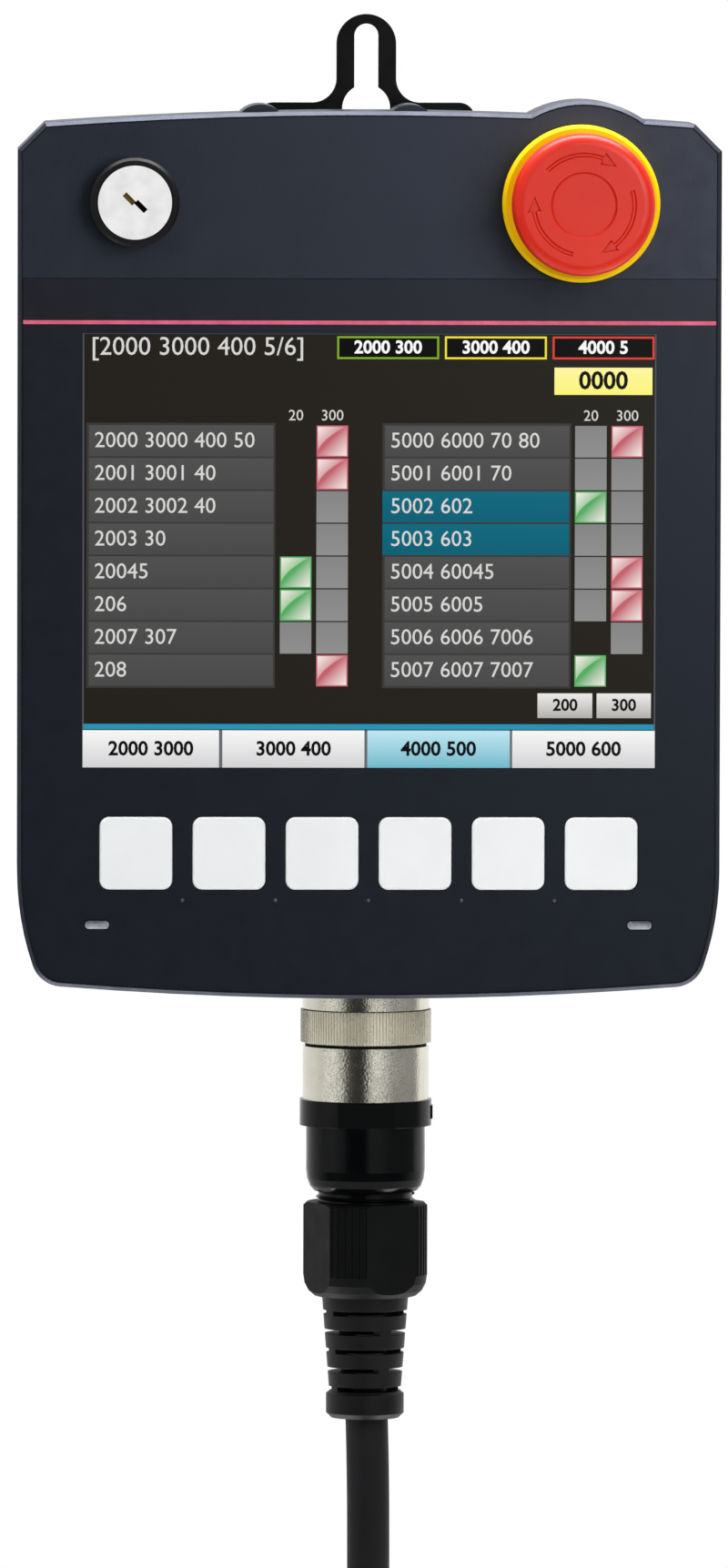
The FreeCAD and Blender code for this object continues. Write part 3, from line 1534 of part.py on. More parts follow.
def plug():
    """Cable half of the connector: knurled ring, sleeve, insert, clamp ring and backshell."""
    ring_top = size.collar_bottom + size.fit_gap
    profile = [
        (size.ring_bore_radius, ring_top),
        (size.ring_radius, ring_top),
        (size.ring_radius, size.ring_bottom),
        (size.ring_recess_radius, size.ring_bottom),
        (size.ring_recess_radius, size.ring_recess_top),
        (size.ring_bore_radius, size.ring_recess_top),
    ]
    node("coupling_ring", knurled("coupling_ring_solid", profile))

    neck_top = size.ring_recess_top + size.running_gap
    sleeve = z_turned(
        "plug_sleeve_body",
        [
            (size.sleeve_bore_radius, neck_top),
            (size.sleeve_neck_radius, neck_top),
            (size.sleeve_neck_radius, size.sleeve_top),
            (size.sleeve_radius, size.sleeve_top),
            (size.sleeve_radius, size.sleeve_bottom),
            (size.insert_radius, size.sleeve_bottom),
            (size.insert_radius, size.sleeve_floor),
            (size.sleeve_bore_radius, size.sleeve_floor),
        ],
    )
    node("plug_sleeve", sleeve)
    node("plug_insert", bar_along_z("insert_bar", size.insert_radius, ZERO, connector_y,
                                    (-size.sleeve_bottom, -size.insert_top)))

    clamp = z_turned(
        "clamp_ring_body",
        [
            (size.backshell_neck_radius, size.sleeve_bottom),
            (size.clamp_ring_radius, size.sleeve_bottom),
            (size.clamp_ring_radius, size.clamp_ring_bottom),
            (size.backshell_neck_radius, size.clamp_ring_bottom),
        ],
    )
    lug_reach = size.clamp_ring_radius + size.clamp_lug
    lug = box("clamp_lug_block", (size.backshell_radius, lug_reach),
              around(connector_y, size.clamp_lug_width),
              around(-(size.sleeve_bottom + size.clamp_ring_bottom) / 2, size.clamp_lug_height))
    trim = box("clamp_trim", around(ZERO, 4 * size.clamp_ring_radius),
               around(connector_y, 2 * size.backshell_radius),
               (-size.clamp_ring_bottom, -size.sleeve_bottom))
    node("clamp_ring", fused("clamp_ring_solid", common("clamp_ring_flats", clamp, trim), lug))

    cavity = size.backshell_neck_radius - size.side_wall
    waist = (size.backshell_radius, size.backshell_waist)
    neck = (size.thread_radius, size.backshell_bottom)
    cable_bore = size.cable_radius + size.cable_gap
    backshell = z_turned(
        "backshell_body",
        [
            (cavity, size.sleeve_bottom),
            (size.backshell_neck_radius, size.sleeve_bottom),
            (size.backshell_neck_radius, size.clamp_ring_bottom),
            (size.backshell_radius, size.clamp_ring_bottom),
            waist,
            *shoulder(waist, neck),
            (size.thread_radius, size.thread_bottom),
            (cable_bore, size.thread_bottom),
            (cable_bore, size.backshell_bottom),
            (cavity, size.backshell_waist),
        ],
    )
    node("backshell", backshell)


def gland():
    """Gland nut with four flats and ribs between them, over the slotted bend relief."""
    flange_top = size.thread_bottom
    flange_bottom = flange_top + size.boot_flange_height
    bore = size.boot_flange_radius + size.fit_gap
    mouth = size.gland_mouth_radius
    edge = (size.gland_radius, size.gland_shoulder)
    nut = z_turned(
        "gland_body",
        [
            (bore, size.gland_top),
            (size.gland_radius - size.gland_top_bevel, size.gland_top),
            (size.gland_radius, size.gland_top + size.gland_top_bevel),
            edge,
            *shoulder(edge, (mouth, size.gland_bottom)),
            (mouth - size.fit_gap, size.gland_bottom),
            (mouth - size.fit_gap, flange_bottom),
            (bore, flange_bottom),
        ],
    )
    tools = []
    flat_pitch = 360 / GLAND_FLATS
    for flat in range(GLAND_FLATS):
        turn = SIZES["gland_flat_turn"] + flat_pitch * flat - FRONT_ANGLE
        tools.append(gland_flat(turn))
        for rib in range(GLAND_RIBS):
            offset = (rib - (GLAND_RIBS - 1) / 2) * SIZES["gland_rib_pitch"]
            tools.append(gland_groove(turn + flat_pitch / 2 + offset))
    node("gland_nut", carved("gland_nut_solid", nut, *tools))

    cable_bore = size.cable_radius + size.cable_gap
    waist = size.boot_collar_top
    tube = z_turned(
        "boot_body",
        [
            (cable_bore, flange_top),
            (size.boot_flange_radius, flange_top),
            (size.boot_flange_radius, flange_bottom),
            (size.boot_radius, flange_bottom),
            (size.boot_radius, size.gland_bottom),
            (size.boot_end_radius, waist),
            (size.boot_collar_radius, waist + size.boot_slot_height / 2),
            (size.boot_collar_radius, size.boot_bottom - size.boot_slot_height),
            (size.boot_collar_radius - size.boot_slot_height, size.boot_bottom),
            (cable_bore, size.boot_bottom),
        ],
    )
    slots = []
    for level in range(BOOT_SLOTS):
        depth = size.boot_slot_first + level * size.boot_slot_pitch
        first = SIZES["boot_slot_turn"] + (0 if level % 2 else FRONT_ANGLE)
        for side in (0, 180):
            slots.append(boot_slot(depth, first + side))
    node("cable_boot", carved("cable_boot_solid", tube, *slots))


def gland_flat(turn):
    """A block that cuts one flat on the gland nut, at an angle about its axis."""
    item = doc.addObject("Part::Box", "gland_flat")
    width = 2 * size.gland_radius
    item.setExpression("Length", size.gland_radius.text)
    item.setExpression("Width", width.text)
    item.setExpression("Height", (size.gland_bottom - size.gland_top).text)
    flat_reach = size.gland_radius - size.gland_flat_depth
    start = Vector(flat_reach.value, -width.value / 2, -size.gland_bottom.value)
    spin = Rotation(Vector(0, 0, 1), turn)
    item.Placement = Placement(Vector(0, connector_y.value, 0) + spin.multVec(start), spin)
    return item


def gland_groove(turn):
    """A round groove between two ribs of the gland nut, down to its rounded shoulder."""
    item = doc.addObject("Part::Cylinder", "gland_groove")
    item.setExpression("Radius", size.gland_rib_radius.text)
    item.setExpression("Height", (size.gland_shoulder - size.gland_top).text)
    reach = size.gland_radius.value + size.gland_rib_radius.value / 3
    spin = Rotation(Vector(0, 0, 1), turn)
    item.Placement = Placement(
        Vector(0, connector_y.value, -size.gland_shoulder.value) + spin.multVec(Vector(reach, 0, 0)), spin
    )
    return item


def boot_slot(depth, turn):
    """One slot of the bend relief: a sector through the wall, about the cable's axis."""
    item = doc.addObject("Part::Cylinder", "boot_slot")
    item.setExpression("Radius", (size.boot_radius + size.boot_slot_height).text)
    item.setExpression("Height", size.boot_slot_height.text)
    item.setExpression("Angle", size.boot_slot_angle.text)
    spin = Rotation(Vector(0, 0, 1), turn - SIZES["boot_slot_angle"] / 2)
    return place(item, ZERO, connector_y, -depth - size.boot_slot_height / 2, spin)


# Route of the cable where it is not coiled: places across and below the origin
LEAD_ROUTE = ((0.0, 259.5), (0.0, 346.0), (42.3, 392.5))
TAIL_ROUTE = ((61.8, 431.0), (61.8, 478.0))


def cable_places(route):
    return [Vector(x, connector_y.value, -depth) for x, depth in route]


def tube_along(name, points):
    """A plain round tube along straight runs and tangent arcs."""
    path, radii = rounded_path(points)
    start = path.Vertexes[0].Point
    section = Part.Wire(Part.makeCircle(size.cable_radius.value, start, points[1] - points[0]))
    item = doc.addObject("Part::Feature", name)
    item.Shape = path.makePipeShell([section], True, False)
    measured = item.Shape.Volume / (math.pi * size.cable_radius.value**2 * path.Length)
    print(name, "bend radii", [round(radius, 1) for radius in radii], "volume ratio", round(measured, 4))
    return item


def cable():
    """The cable: a straight hang and a lead-in, a tied coil, and a tail with its plug."""
    lead = tube_along("cable_tube", cable_places(LEAD_ROUTE))
    tail = tube_along("tail_tube", cable_places(TAIL_ROUTE))
    coil_z = -size.coil_centre_drop
    half_across = size.turn_pitch * (TURNS_ACROSS - 1) / 2 + size.cable_radius
    half_deep = size.turn_pitch * (TURNS_DEEP - 1) / 2 + size.cable_radius
    inner, outer = size.coil_mid_radius - half_across, size.coil_mid_radius + half_across
    coil = turned(
        "coil_body",
        "Y",
        [(inner, -half_deep), (outer, -half_deep), (outer, half_deep), (inner, half_deep)],
        ZERO, connector_y, coil_z,
    )
    node("cable_coil", coil)
    node("cable", carved("cable_lead", lead, coil))
    node("cable_tail", carved("cable_tail_end", tail, coil))

    def band(name, x_span, z_span):
        grown_x = (x_span[0] - size.tie_thickness, x_span[1] + size.tie_thickness)
        deep = 2 * (half_deep + size.fit_gap)
        grown_y = around(connector_y, deep + 2 * size.tie_thickness)
        sleeve = box(f"{name}_sleeve", grown_x, grown_y, z_span)
        core = box(f"{name}_core", x_span, around(connector_y, deep), z_span)
        return carved(name, sleeve, core)

    sag = size.tie_width * size.tie_width / (6 * inner)
    tie = band("tie_band", (-outer - size.fit_gap, sag - inner), around(coil_z, size.tie_width))
    node("coil_tie", tie)

    tail_x, tail_depth = TAIL_ROUTE[-1]
    hood_end = tail_depth + size.far_hood_length
    nose_end = hood_end + size.far_nose_length
    cone_end = tail_depth + size.far_hood_radius
    finger_grooves = []
    for groove in range(HOOD_GROOVES):
        top = -(cone_end + (groove + 1) * size.far_groove_pitch)
        root = size.far_hood_radius - size.far_groove_depth
        finger_grooves += [
            (size.far_hood_radius, top),
            (root, top),
            (root, top - size.far_groove_width),
            (size.far_hood_radius, top - size.far_groove_width),
        ]
    hood = turned(
        "far_hood_body",
        "Z",
        [
            (ZERO, term(-tail_depth)),
            (size.cable_radius + size.side_wall, term(-tail_depth)),
            (size.far_hood_radius, -cone_end),
            *finger_grooves,
            (size.far_hood_radius, -hood_end),
            (ZERO, -hood_end),
        ],
        tail_x, connector_y, ZERO,
    )
    node("far_plug_hood", hood)
    nose = turned(
        "far_nose_body",
        "Z",
        [
            (ZERO, -hood_end),
            (size.far_nose_radius, -hood_end),
            (size.far_nose_radius, -nose_end),
            (size.far_nose_radius - size.bay_wall, -nose_end),
            (size.far_nose_radius - size.bay_wall, -hood_end - size.far_nose_length / 3),
            (ZERO, -hood_end - size.far_nose_length / 3),
        ],
        tail_x, connector_y, ZERO,
    )
    node("far_plug_nose", nose)


for build in (
    front_case,
    rear_case,
    rear_grip,
    lambda: node("case_gasket", gasket_ring("case_gasket_ring")),
    front_sheet,
    display,
    case_screws,
    rear_screws,
    function_keys,
    lamps,
    emergency_stop,
    key_switch,
    hanger,
    enabling_grip,
    hand_strap,
    battery,
    receptacle,
    plug,
    gland,
    cable,
):
    build()

doc.recompute()
broken = [item.Name for item in doc.Objects if "Invalid" in item.State or "Error" in item.State]
for name, item in nodes.items():
    if item.Shape.isNull() or not item.Shape.isValid():
        broken.append(name)
if broken:
    raise RuntimeError(f"not built: {broken}")

os.makedirs("parts", exist_ok=True)
for name, item in nodes.items():
    item.Shape.exportStep(f"parts/{name}.step")
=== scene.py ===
"""Looks of the handheld operator touch panel: camera, light, cable, screen picture and finishes."""

import math

import bmesh
import bpy
from mathutils import Matrix, Quaternion, Vector


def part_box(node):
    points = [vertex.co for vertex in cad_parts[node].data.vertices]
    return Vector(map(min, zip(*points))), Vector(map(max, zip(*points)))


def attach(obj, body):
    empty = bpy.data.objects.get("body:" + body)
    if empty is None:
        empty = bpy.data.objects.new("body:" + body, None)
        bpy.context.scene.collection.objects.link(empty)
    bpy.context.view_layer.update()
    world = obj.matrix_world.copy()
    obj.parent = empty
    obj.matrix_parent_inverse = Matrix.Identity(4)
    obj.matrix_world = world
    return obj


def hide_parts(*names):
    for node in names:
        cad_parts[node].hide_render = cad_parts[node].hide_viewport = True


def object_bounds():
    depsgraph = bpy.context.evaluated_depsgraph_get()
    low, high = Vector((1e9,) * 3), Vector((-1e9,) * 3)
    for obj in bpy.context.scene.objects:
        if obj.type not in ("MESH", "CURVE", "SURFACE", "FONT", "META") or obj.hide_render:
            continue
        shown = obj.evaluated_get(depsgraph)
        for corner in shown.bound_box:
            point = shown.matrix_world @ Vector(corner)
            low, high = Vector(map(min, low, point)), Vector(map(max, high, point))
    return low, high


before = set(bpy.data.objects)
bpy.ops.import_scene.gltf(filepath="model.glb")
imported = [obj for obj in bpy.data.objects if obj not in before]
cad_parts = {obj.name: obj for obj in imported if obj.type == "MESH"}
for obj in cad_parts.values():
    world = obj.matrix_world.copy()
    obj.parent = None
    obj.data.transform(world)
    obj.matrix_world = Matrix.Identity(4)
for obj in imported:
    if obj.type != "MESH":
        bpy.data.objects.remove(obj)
cad_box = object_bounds()
MM = 0.001


# Materials


# Most values of a noise texture lie between these
NOISE_LOW = 0.3
NOISE_HIGH = 0.7


def shade(red, green, blue):
    """Linear colour of a display colour given in steps of 0 to 255."""
    parts = []
    for step in (red, green, blue):
        value = step / 255
        parts.append(value / 12.92 if value <= 0.04045 else ((value + 0.055) / 1.055) ** 2.4)
    return (*parts, 1.0)


class Graph:
    """A node tree, and the nodes that work out numbers and colours in it."""

    def __init__(self, tree):
        self.nodes = tree.nodes
        self.links = tree.links

    def put(self, socket, value):
        """Feeds a socket from another node, or sets it to a plain value."""
        if isinstance(value, bpy.types.NodeSocket):
            self.links.new(value, socket)
        else:
            socket.default_value = value

    def node(self, kind, **inputs):
        """A new node with some inputs, whose names have _ for each space."""
        node = self.nodes.new(kind)
        for name, value in inputs.items():
            self.put(node.inputs[name.replace("_", " ")], value)
        return node

    def math(self, operation, *values):
        node = self.nodes.new("ShaderNodeMath")
        node.operation = operation
        for socket, value in zip(node.inputs, values):
            self.put(socket, value)
        return node.outputs[0]

    def axes(self, vector):
        """The three coordinates of a vector."""
        return self.node("ShaderNodeSeparateXYZ", Vector=vector).outputs

    def spread(self, factor, low, high, start=NOISE_LOW, end=NOISE_HIGH):
        """The factor from start to end, as a number from low to high."""
        ends = {"From_Min": start, "From_Max": end, "To_Min": low, "To_Max": high}
        return self.node("ShaderNodeMapRange", Value=factor, **ends).outputs["Result"]

    def fade(self, factor, start, end):
        """A number that goes from 0 to 1 as the factor goes from start to end."""
        return self.spread(factor, 0.0, 1.0, start, end)

    def ramp(self, factor, stops):
        """Colours along a factor; stops are places from 0 to 1 with their colours."""
        node = self.node("ShaderNodeValToRGB", Fac=factor)
        elements = node.color_ramp.elements
        while len(elements) < len(stops):
            elements.new(0.5)
        for element, (place, colour) in zip(elements, stops):
            element.position = place
            element.color = colour
        return node.outputs["Color"]

    def mix(self, factor, first, second):
        """The first colour, which turns into the second as the factor goes from 0 to 1."""
        node = self.nodes.new("ShaderNodeMix")
        node.data_type = "RGBA"
        for name, value in zip(("Factor", "A", "B"), (factor, first, second)):
            self.put(node.inputs[name], value)
        return node.outputs["Result"]


class Finish(Graph):
    """A node material in display colours: its shader, and textures for its colour, gloss and relief."""

    def __init__(self, name, colour, roughness, **settings):
        self.material = bpy.data.materials.new(name)
        self.material.use_nodes = True
        super().__init__(self.material.node_tree)
        self.shader = self.nodes["Principled BSDF"]
        coordinates = self.node("ShaderNodeTexCoord").outputs
        self.place = coordinates["Object"]
        self.across = coordinates["UV"]
        self.set("Base Color", shade(*colour))
        self.set("Roughness", roughness)
        for socket, value in settings.items():
            self.set(socket.replace("_", " "), value)

    def set(self, socket, value):
        self.put(self.shader.inputs[socket], value)

    def source(self, socket):
        """The output that feeds a socket of the shader, or None."""
        links = self.shader.inputs[socket].links
        return links[0].from_socket if links else None

    def noise(self, scale, detail=3.0, stretch=(1, 1, 1)):
        """Noise over the part's own coordinates, with about scale features to the metre."""
        mapping = self.node("ShaderNodeMapping", Vector=self.place, Scale=stretch)
        noise = self.node("ShaderNodeTexNoise", Vector=mapping.outputs[0], Scale=scale, Detail=detail)
        return noise.outputs["Fac"]

    def weave(self, pitch, *ways):
        """Product of the waves along two coordinates, from -1 to 1."""
        waves = [self.math("SINE", self.math("MULTIPLY", way, 2 * math.pi / pitch)) for way in ways]
        return self.math("MULTIPLY", *waves)

    def tint(self, factor, dark, light, start=NOISE_LOW, end=NOISE_HIGH, socket="Base Color"):
        """Colours from dark to light as the factor goes from start to end."""
        self.set(socket, self.ramp(factor, [(start, shade(*dark)), (end, shade(*light))]))

    def gloss(self, factor, low, high):
        self.set("Roughness", self.spread(factor, low, high))

    def rounded(self, radius):
        """Softens sharp edges by a radius in metres; comes before any relief."""
        self.set("Normal", self.node("ShaderNodeBevel", Radius=radius).outputs["Normal"])

    def relief(self, height, depth, strength=1.0):
        """Adds a bump of the given depth in metres over the bumps before it."""
        bump = self.node("ShaderNodeBump", Height=height, Distance=depth, Strength=strength)
        before = self.source("Normal")
        if before is not None:
            self.put(bump.inputs["Normal"], before)
        self.set("Normal", bump.outputs["Normal"])


def moulded(name, dark, light, roughness, grain=1500, depth=0.03, edge=0.2, **settings):
    """Plastic or rubber: a fine grain, cloudy colour and uneven gloss; depth and edge in millimetres."""
    finish = Finish(name, light, roughness, **settings)
    finish.rounded(edge * MM)
    finish.tint(finish.noise(60), dark, light)
    finish.gloss(finish.noise(220), roughness - 0.05, roughness + 0.07)
    finish.relief(finish.noise(grain, 2.0), depth * MM, 0.5)
    return finish


def turned_metal(name, dark, light, roughness, ripple=0.06, metallic=1.0):
    """Plated metal with fine turning lines round the connector's axis; ripple in millimetres."""
    finish = Finish(name, light, roughness, Metallic=metallic)
    finish.tint(finish.noise(90), dark, light)
    finish.gloss(finish.noise(500), roughness - 0.04, roughness + 0.06)
    finish.relief(finish.noise(2200, 2.0), ripple * MM)
    finish.relief(finish.noise(160, 2.0, (1, 1, 60)), 0.002 * MM, 0.4)
    return finish


def plated(name, dark, light, roughness, scale=400, **settings):
    """Flat metal parts: screws, sheet steel, brass."""
    finish = Finish(name, light, roughness, **settings)
    finish.tint(finish.noise(scale), dark, light)
    finish.gloss(finish.noise(scale * 2), roughness - 0.06, roughness + 0.08)
    finish.relief(finish.noise(scale * 3), 0.004 * MM, 0.5)
    return finish


def woven(name, dark, light, pitch):
    """Narrow fabric: crossing threads from the piece's own lengths along and across."""
    finish = Finish(name, light, 0.85, Sheen_Weight=0.3, Sheen_Roughness=0.5)
    height = finish.fade(finish.weave(pitch, *finish.axes(finish.across)[:2]), -1.0, 1.0)
    fuzz = finish.math("ADD", height, finish.math("MULTIPLY", finish.noise(2500), 0.6))
    finish.tint(fuzz, dark, light, 0.2, 1.0)
    finish.relief(fuzz, 0.25 * MM, 0.8)
    return finish


def glowing(name):
    """A black finish whose light comes from its emission colour."""
    return Finish(name, (0, 0, 0), 0.35, Specular_IOR_Level=0.1, Emission_Strength=1.0)


# Mesh helpers


# Points closer than this are joined in CAD parts and numbers, and closer than the next one after a cut
WELD = 0.001 * MM
CUT_WELD = 0.01 * MM


def linked(name, data):
    """A new object in the scene."""
    item = bpy.data.objects.new(name, data)
    bpy.context.scene.collection.objects.link(item)
    return item


def piece(name, mesh, finish, body):
    """A new object that wears a finish and rides on a body."""
    item = linked(name, mesh)
    mesh.materials.append(finish.material)
    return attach(item, body)


def mesh_from(name, form):
    """The mesh of a finished bmesh, with its normals facing out."""
    bmesh.ops.recalc_face_normals(form, faces=form.faces)
    mesh = bpy.data.meshes.new(name)
    form.to_mesh(mesh)
    form.free()
    return mesh


def smooth(mesh, angle):
    """The mesh, shaded smooth but for edges sharper than the angle."""
    mesh.shade_smooth()
    mesh.set_sharp_from_angle(angle=math.radians(angle))
    return mesh


def formed(name, form, finish, body, angle=50):
    """A smooth piece made from a bmesh."""
    return piece(name, smooth(mesh_from(name, form), angle), finish, body)


def modified(mesh, kind, **settings):
    """The mesh after one modifier."""
    item = linked(mesh.name, mesh)
    modifier = item.modifiers.new(kind, kind)
    for setting, value in settings.items():
        setattr(modifier, setting, value)
    bpy.context.view_layer.update()
    graph = bpy.context.evaluated_depsgraph_get()
    result = bpy.data.meshes.new_from_object(item.evaluated_get(graph), depsgraph=graph)
    bpy.data.objects.remove(item)
    return result


def welded(node):
    """A bmesh of a CAD part with its doubled points joined."""
    form = bmesh.new()
    form.from_mesh(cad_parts[node].data)
    bmesh.ops.remove_doubles(form, verts=form.verts, dist=WELD)
    return form


def cut(mesh, cutter):
    """The mesh with other forms cut out of it."""
    tool = linked("tool", cutter)
    result = modified(mesh, "BOOLEAN", operation="DIFFERENCE", solver="EXACT", use_self=True, object=tool)
    bpy.data.objects.remove(tool)
    result.materials.clear()
    form = bmesh.new()
    form.from_mesh(result)
    bmesh.ops.remove_doubles(form, verts=form.verts, dist=CUT_WELD)
    bmesh.ops.dissolve_degenerate(form, dist=CUT_WELD, edges=form.edges)
    form.to_mesh(result)
    form.free()
    return smooth(result, 25)


def add_loft(form, rings, closed=False):
    """Faces between rings of points that all have the same count; ends are capped unless closed."""
    loops = [[form.verts.new(point) for point in ring] for ring in rings]
    pairs = list(zip(loops, loops[1:]))
    if closed:
        pairs.append((loops[-1], loops[0]))
    for near, far in pairs:
        for i in range(len(near)):
            j = (i + 1) % len(near)
            form.faces.new((near[i], near[j], far[j], far[i]))
    if not closed:
        form.faces.new(loops[0])
        form.faces.new(loops[-1])
    return loops


def polar(radius, turn, level=0.0, axis="Z"):
    """A point round the Z or Y axis, at a level along it."""
    side, up = radius * math.cos(turn), radius * math.sin(turn)
    return Vector((side, level, up) if axis == "Y" else (side, up, level))


def turns(count):
    """Angles in equal steps, once round."""
    return [2 * math.pi * i / count for i in range(count)]


def spun(profile, centre, axis, segments=96):
    """Rings of points round an axis through a centre; the profile is (radius, level along the axis)."""
    return [
        [centre + polar(radius, turn, level, axis) for turn in turns(segments)]
        for radius, level in profile
    ]


def middle_of(low, high):
    return (Vector(low) + Vector(high)) / 2


def lay_spline(line, control):
    """One smooth NURBS spline through a curve's control points."""
    line.dimensions = "3D"
    spline = line.splines.new("NURBS")
    spline.points.add(len(control) - 1)
    for point, place in zip(spline.points, control):
        point.co = (*place, 1.0)
    spline.order_u = 3
    spline.use_endpoint_u = True
    return spline


def curve_points(control, samples):
    """Points along the smooth spline of some control points."""
    line = bpy.data.curves.new("guide", "CURVE")
    lay_spline(line, control).resolution_u = samples
    item = bpy.data.objects.new("guide", line)
    mesh = bpy.data.meshes.new_from_object(item)
    points = [vertex.co.copy() for vertex in mesh.vertices]
    bpy.data.objects.remove(item)
    bpy.data.meshes.remove(mesh)
    bpy.data.curves.remove(line)
    return points


def plates(name, spans, back_y, thickness):
    """Thin plates facing the front, each with its own 0 to 1 coordinates; spans are (x0, x1, z0, z1)."""
    form = bmesh.new()
    across = form.loops.layers.uv.new("across")
    for x0, x1, z0, z1 in spans:
        corners = ((x0, z0), (x1, z0), (x1, z1), (x0, z1))
        add_loft(form, [[(x, y, z) for x, z in corners] for y in (back_y, back_y - thickness)])
        form.faces.ensure_lookup_table()
        for face in form.faces[-6:]:
            for loop in face.loops:
                x, _, z = loop.vert.co
                loop[across].uv = ((x - x0) / (x1 - x0), (z - z0) / (z1 - z0))
    return mesh_from(name, form)


# Camera


CAMERA_PLACE = Vector((-79.0, -3343.0, 33.0)) * MM
CAMERA_ROLL = math.radians(0.14)
CAMERA_REACH = 20.0
FRAME_CENTRE = Vector((-0.97, -36.0, -153.84)) * MM
FRAME_HEIGHT = 322.8 * MM
SENSOR = 36.0


def camera():
    """Camera at the photograph's angle, far off, a little to the left and high."""
    lens = bpy.data.cameras.new("camera")
    item = linked("camera", lens)
    item.location = CAMERA_PLACE
    look = (FRAME_CENTRE - CAMERA_PLACE).to_track_quat("-Z", "Y")
    item.rotation_euler = (look @ Quaternion((0, 0, 1), CAMERA_ROLL)).to_euler()
    lens.sensor_width = SENSOR
    lens.lens = SENSOR * (FRAME_CENTRE.y - CAMERA_PLACE.y) / FRAME_HEIGHT
    lens.clip_end = CAMERA_REACH
    bpy.context.scene.camera = item
    bpy.context.scene.view_settings.view_transform = "Standard"


# Light


# Brightness round the object at eye level, by the angle from straight in front to the right
EYE_CARDS = (
    (-180, 0.85), (-110, 0.7), (-92, 0.6), (-66, 0.9), (-46, 0.6), (-37, 0.1), (-26, 0.03),
    (-2, 0.02), (9, 0.8), (28, 0.75), (44, 0.4), (104, 0.22), (114, 0.9), (180, 0.85),
)
# Brightness above and below eye level: a dark room in front of a white sweep
ROOM_CARDS = ((-180, 0.7), (-110, 0.6), (-75, 0.04), (75, 0.04), (110, 0.6), (180, 0.7))
EYE_LEVEL = -0.056
EYE_BAND = (0.08, 0.14)
OVERHEAD = (0.6, 0.85)
CEILING = (0.3, 0.3, 0.3, 1.0)
ROOM_STRENGTH = 1.25
WHITE = (1.0, 1.0, 1.0, 1.0)
# Name, place, aim, width and height in metres, watts, and whether reflections show it
LIGHTS = (
    ("key_light", (0.23, -0.5, 0.06), (0.03, -0.036, -0.06), 0.3, 0.3, 1.5, True),
    ("fill_light", (-0.35, -0.77, 0.32), (0.0, -0.036, -0.1), 0.7, 0.6, 2.8, False),
    ("top_light", (0.05, 0.06, 0.6), (0.05, 0.06, 0.0), 0.9, 0.36, 16.0, True),
    ("low_light", (0.0, 0.03, -0.53), (0.0, -0.03, -0.19), 0.8, 0.12, 1.8, True),
)
FLOOR_DROP = 40.0 * MM
FLOOR_HALF = 700.0 * MM


def studio():
    """White ground for the camera, and a room of light and dark cards for the reflections."""
    world = bpy.data.worlds.new("studio")
    bpy.context.scene.world = world
    world.use_nodes = True
    graph = Graph(world.node_tree)
    x, y, z = graph.axes(graph.node("ShaderNodeTexCoord").outputs["Generated"])
    turn = graph.fade(graph.math("ARCTAN2", x, graph.math("MULTIPLY", y, -1.0)), -math.pi, math.pi)
    level_with_eye, off_level = (
        graph.ramp(turn, [((degrees + 180) / 360, (level, level, level, 1.0)) for degrees, level in cards])
        for cards in (EYE_CARDS, ROOM_CARDS)
    )
    distance = graph.math("ABSOLUTE", graph.math("SUBTRACT", z, EYE_LEVEL))
    walls = graph.mix(graph.fade(distance, *EYE_BAND), level_with_eye, off_level)
    room = graph.nodes["Background"]
    graph.put(room.inputs["Color"], graph.mix(graph.fade(z, *OVERHEAD), walls, CEILING))
    graph.put(room.inputs["Strength"], ROOM_STRENGTH)
    ground = graph.node("ShaderNodeBackground", Color=WHITE)
    choice = graph.node("ShaderNodeMixShader")
    camera_ray = graph.node("ShaderNodeLightPath").outputs["Is Camera Ray"]
    for socket, source in zip(choice.inputs, (camera_ray, room.outputs[0], ground.outputs[0])):
        graph.put(socket, source)
    graph.put(graph.nodes["World Output"].inputs["Surface"], choice.outputs[0])


def area_light(name, place, aim, width, height, watts, shine):
    """A soft light; without shine it lights the surfaces and stays out of their reflections."""
    light = bpy.data.lights.new(name, "AREA")
    light.shape = "RECTANGLE"
    light.size = width
    light.size_y = height
    light.energy = watts
    item = linked(name, light)
    item.location = place
    item.rotation_euler = (Vector(aim) - Vector(place)).to_track_quat("-Z", "Y").to_euler()
    item.visible_camera = False
    item.visible_glossy = shine


def floor():
    """Pale floor under the hanging panel, short enough to stay below the picture."""
    low = cad_box[0][2] - FLOOR_DROP
    form = bmesh.new()
    corners = ((-1, -1), (1, -1), (1, 1), (-1, 1))
    form.faces.new([form.verts.new((x * FLOOR_HALF, y * FLOOR_HALF, low)) for x, y in corners])
    finish = Finish("floor_paint", (236, 236, 234), 0.8)
    finish.tint(finish.noise(4), (230, 230, 228), (240, 240, 238))
    mesh = mesh_from("floor", form)
    mesh.materials.append(finish.material)
    item = linked("floor", mesh)


# Cable


CONNECTOR_Y = -15.5 * MM
CABLE_RADIUS = 4.5 * MM
CABLE_SAMPLES = 6
CABLE_ROUNDNESS = 5
COIL_CENTRE = Vector((0.0, -15.5, -431.0)) * MM
COIL_OUTER = 61.8 * MM
COIL_INNER = 34.2 * MM
COIL_LAYER = 4.75 * MM
COIL_TURNS = 3
COIL_ENTRY = math.radians(42)
POINTS_PER_TURN = 18
# Lead from the bend relief to the coil, and the tail to the far plug, in millimetres
LEAD = ((0, -15.5, -278), (0.7, -15.5, -292), (0.8, -15.5, -325), (0.8, -15.0, -346), (22, -11.0, -370))
TAIL = ((61.8, -17.0, -446), (61.8, -15.5, -462), (61.8, -15.5, -484))


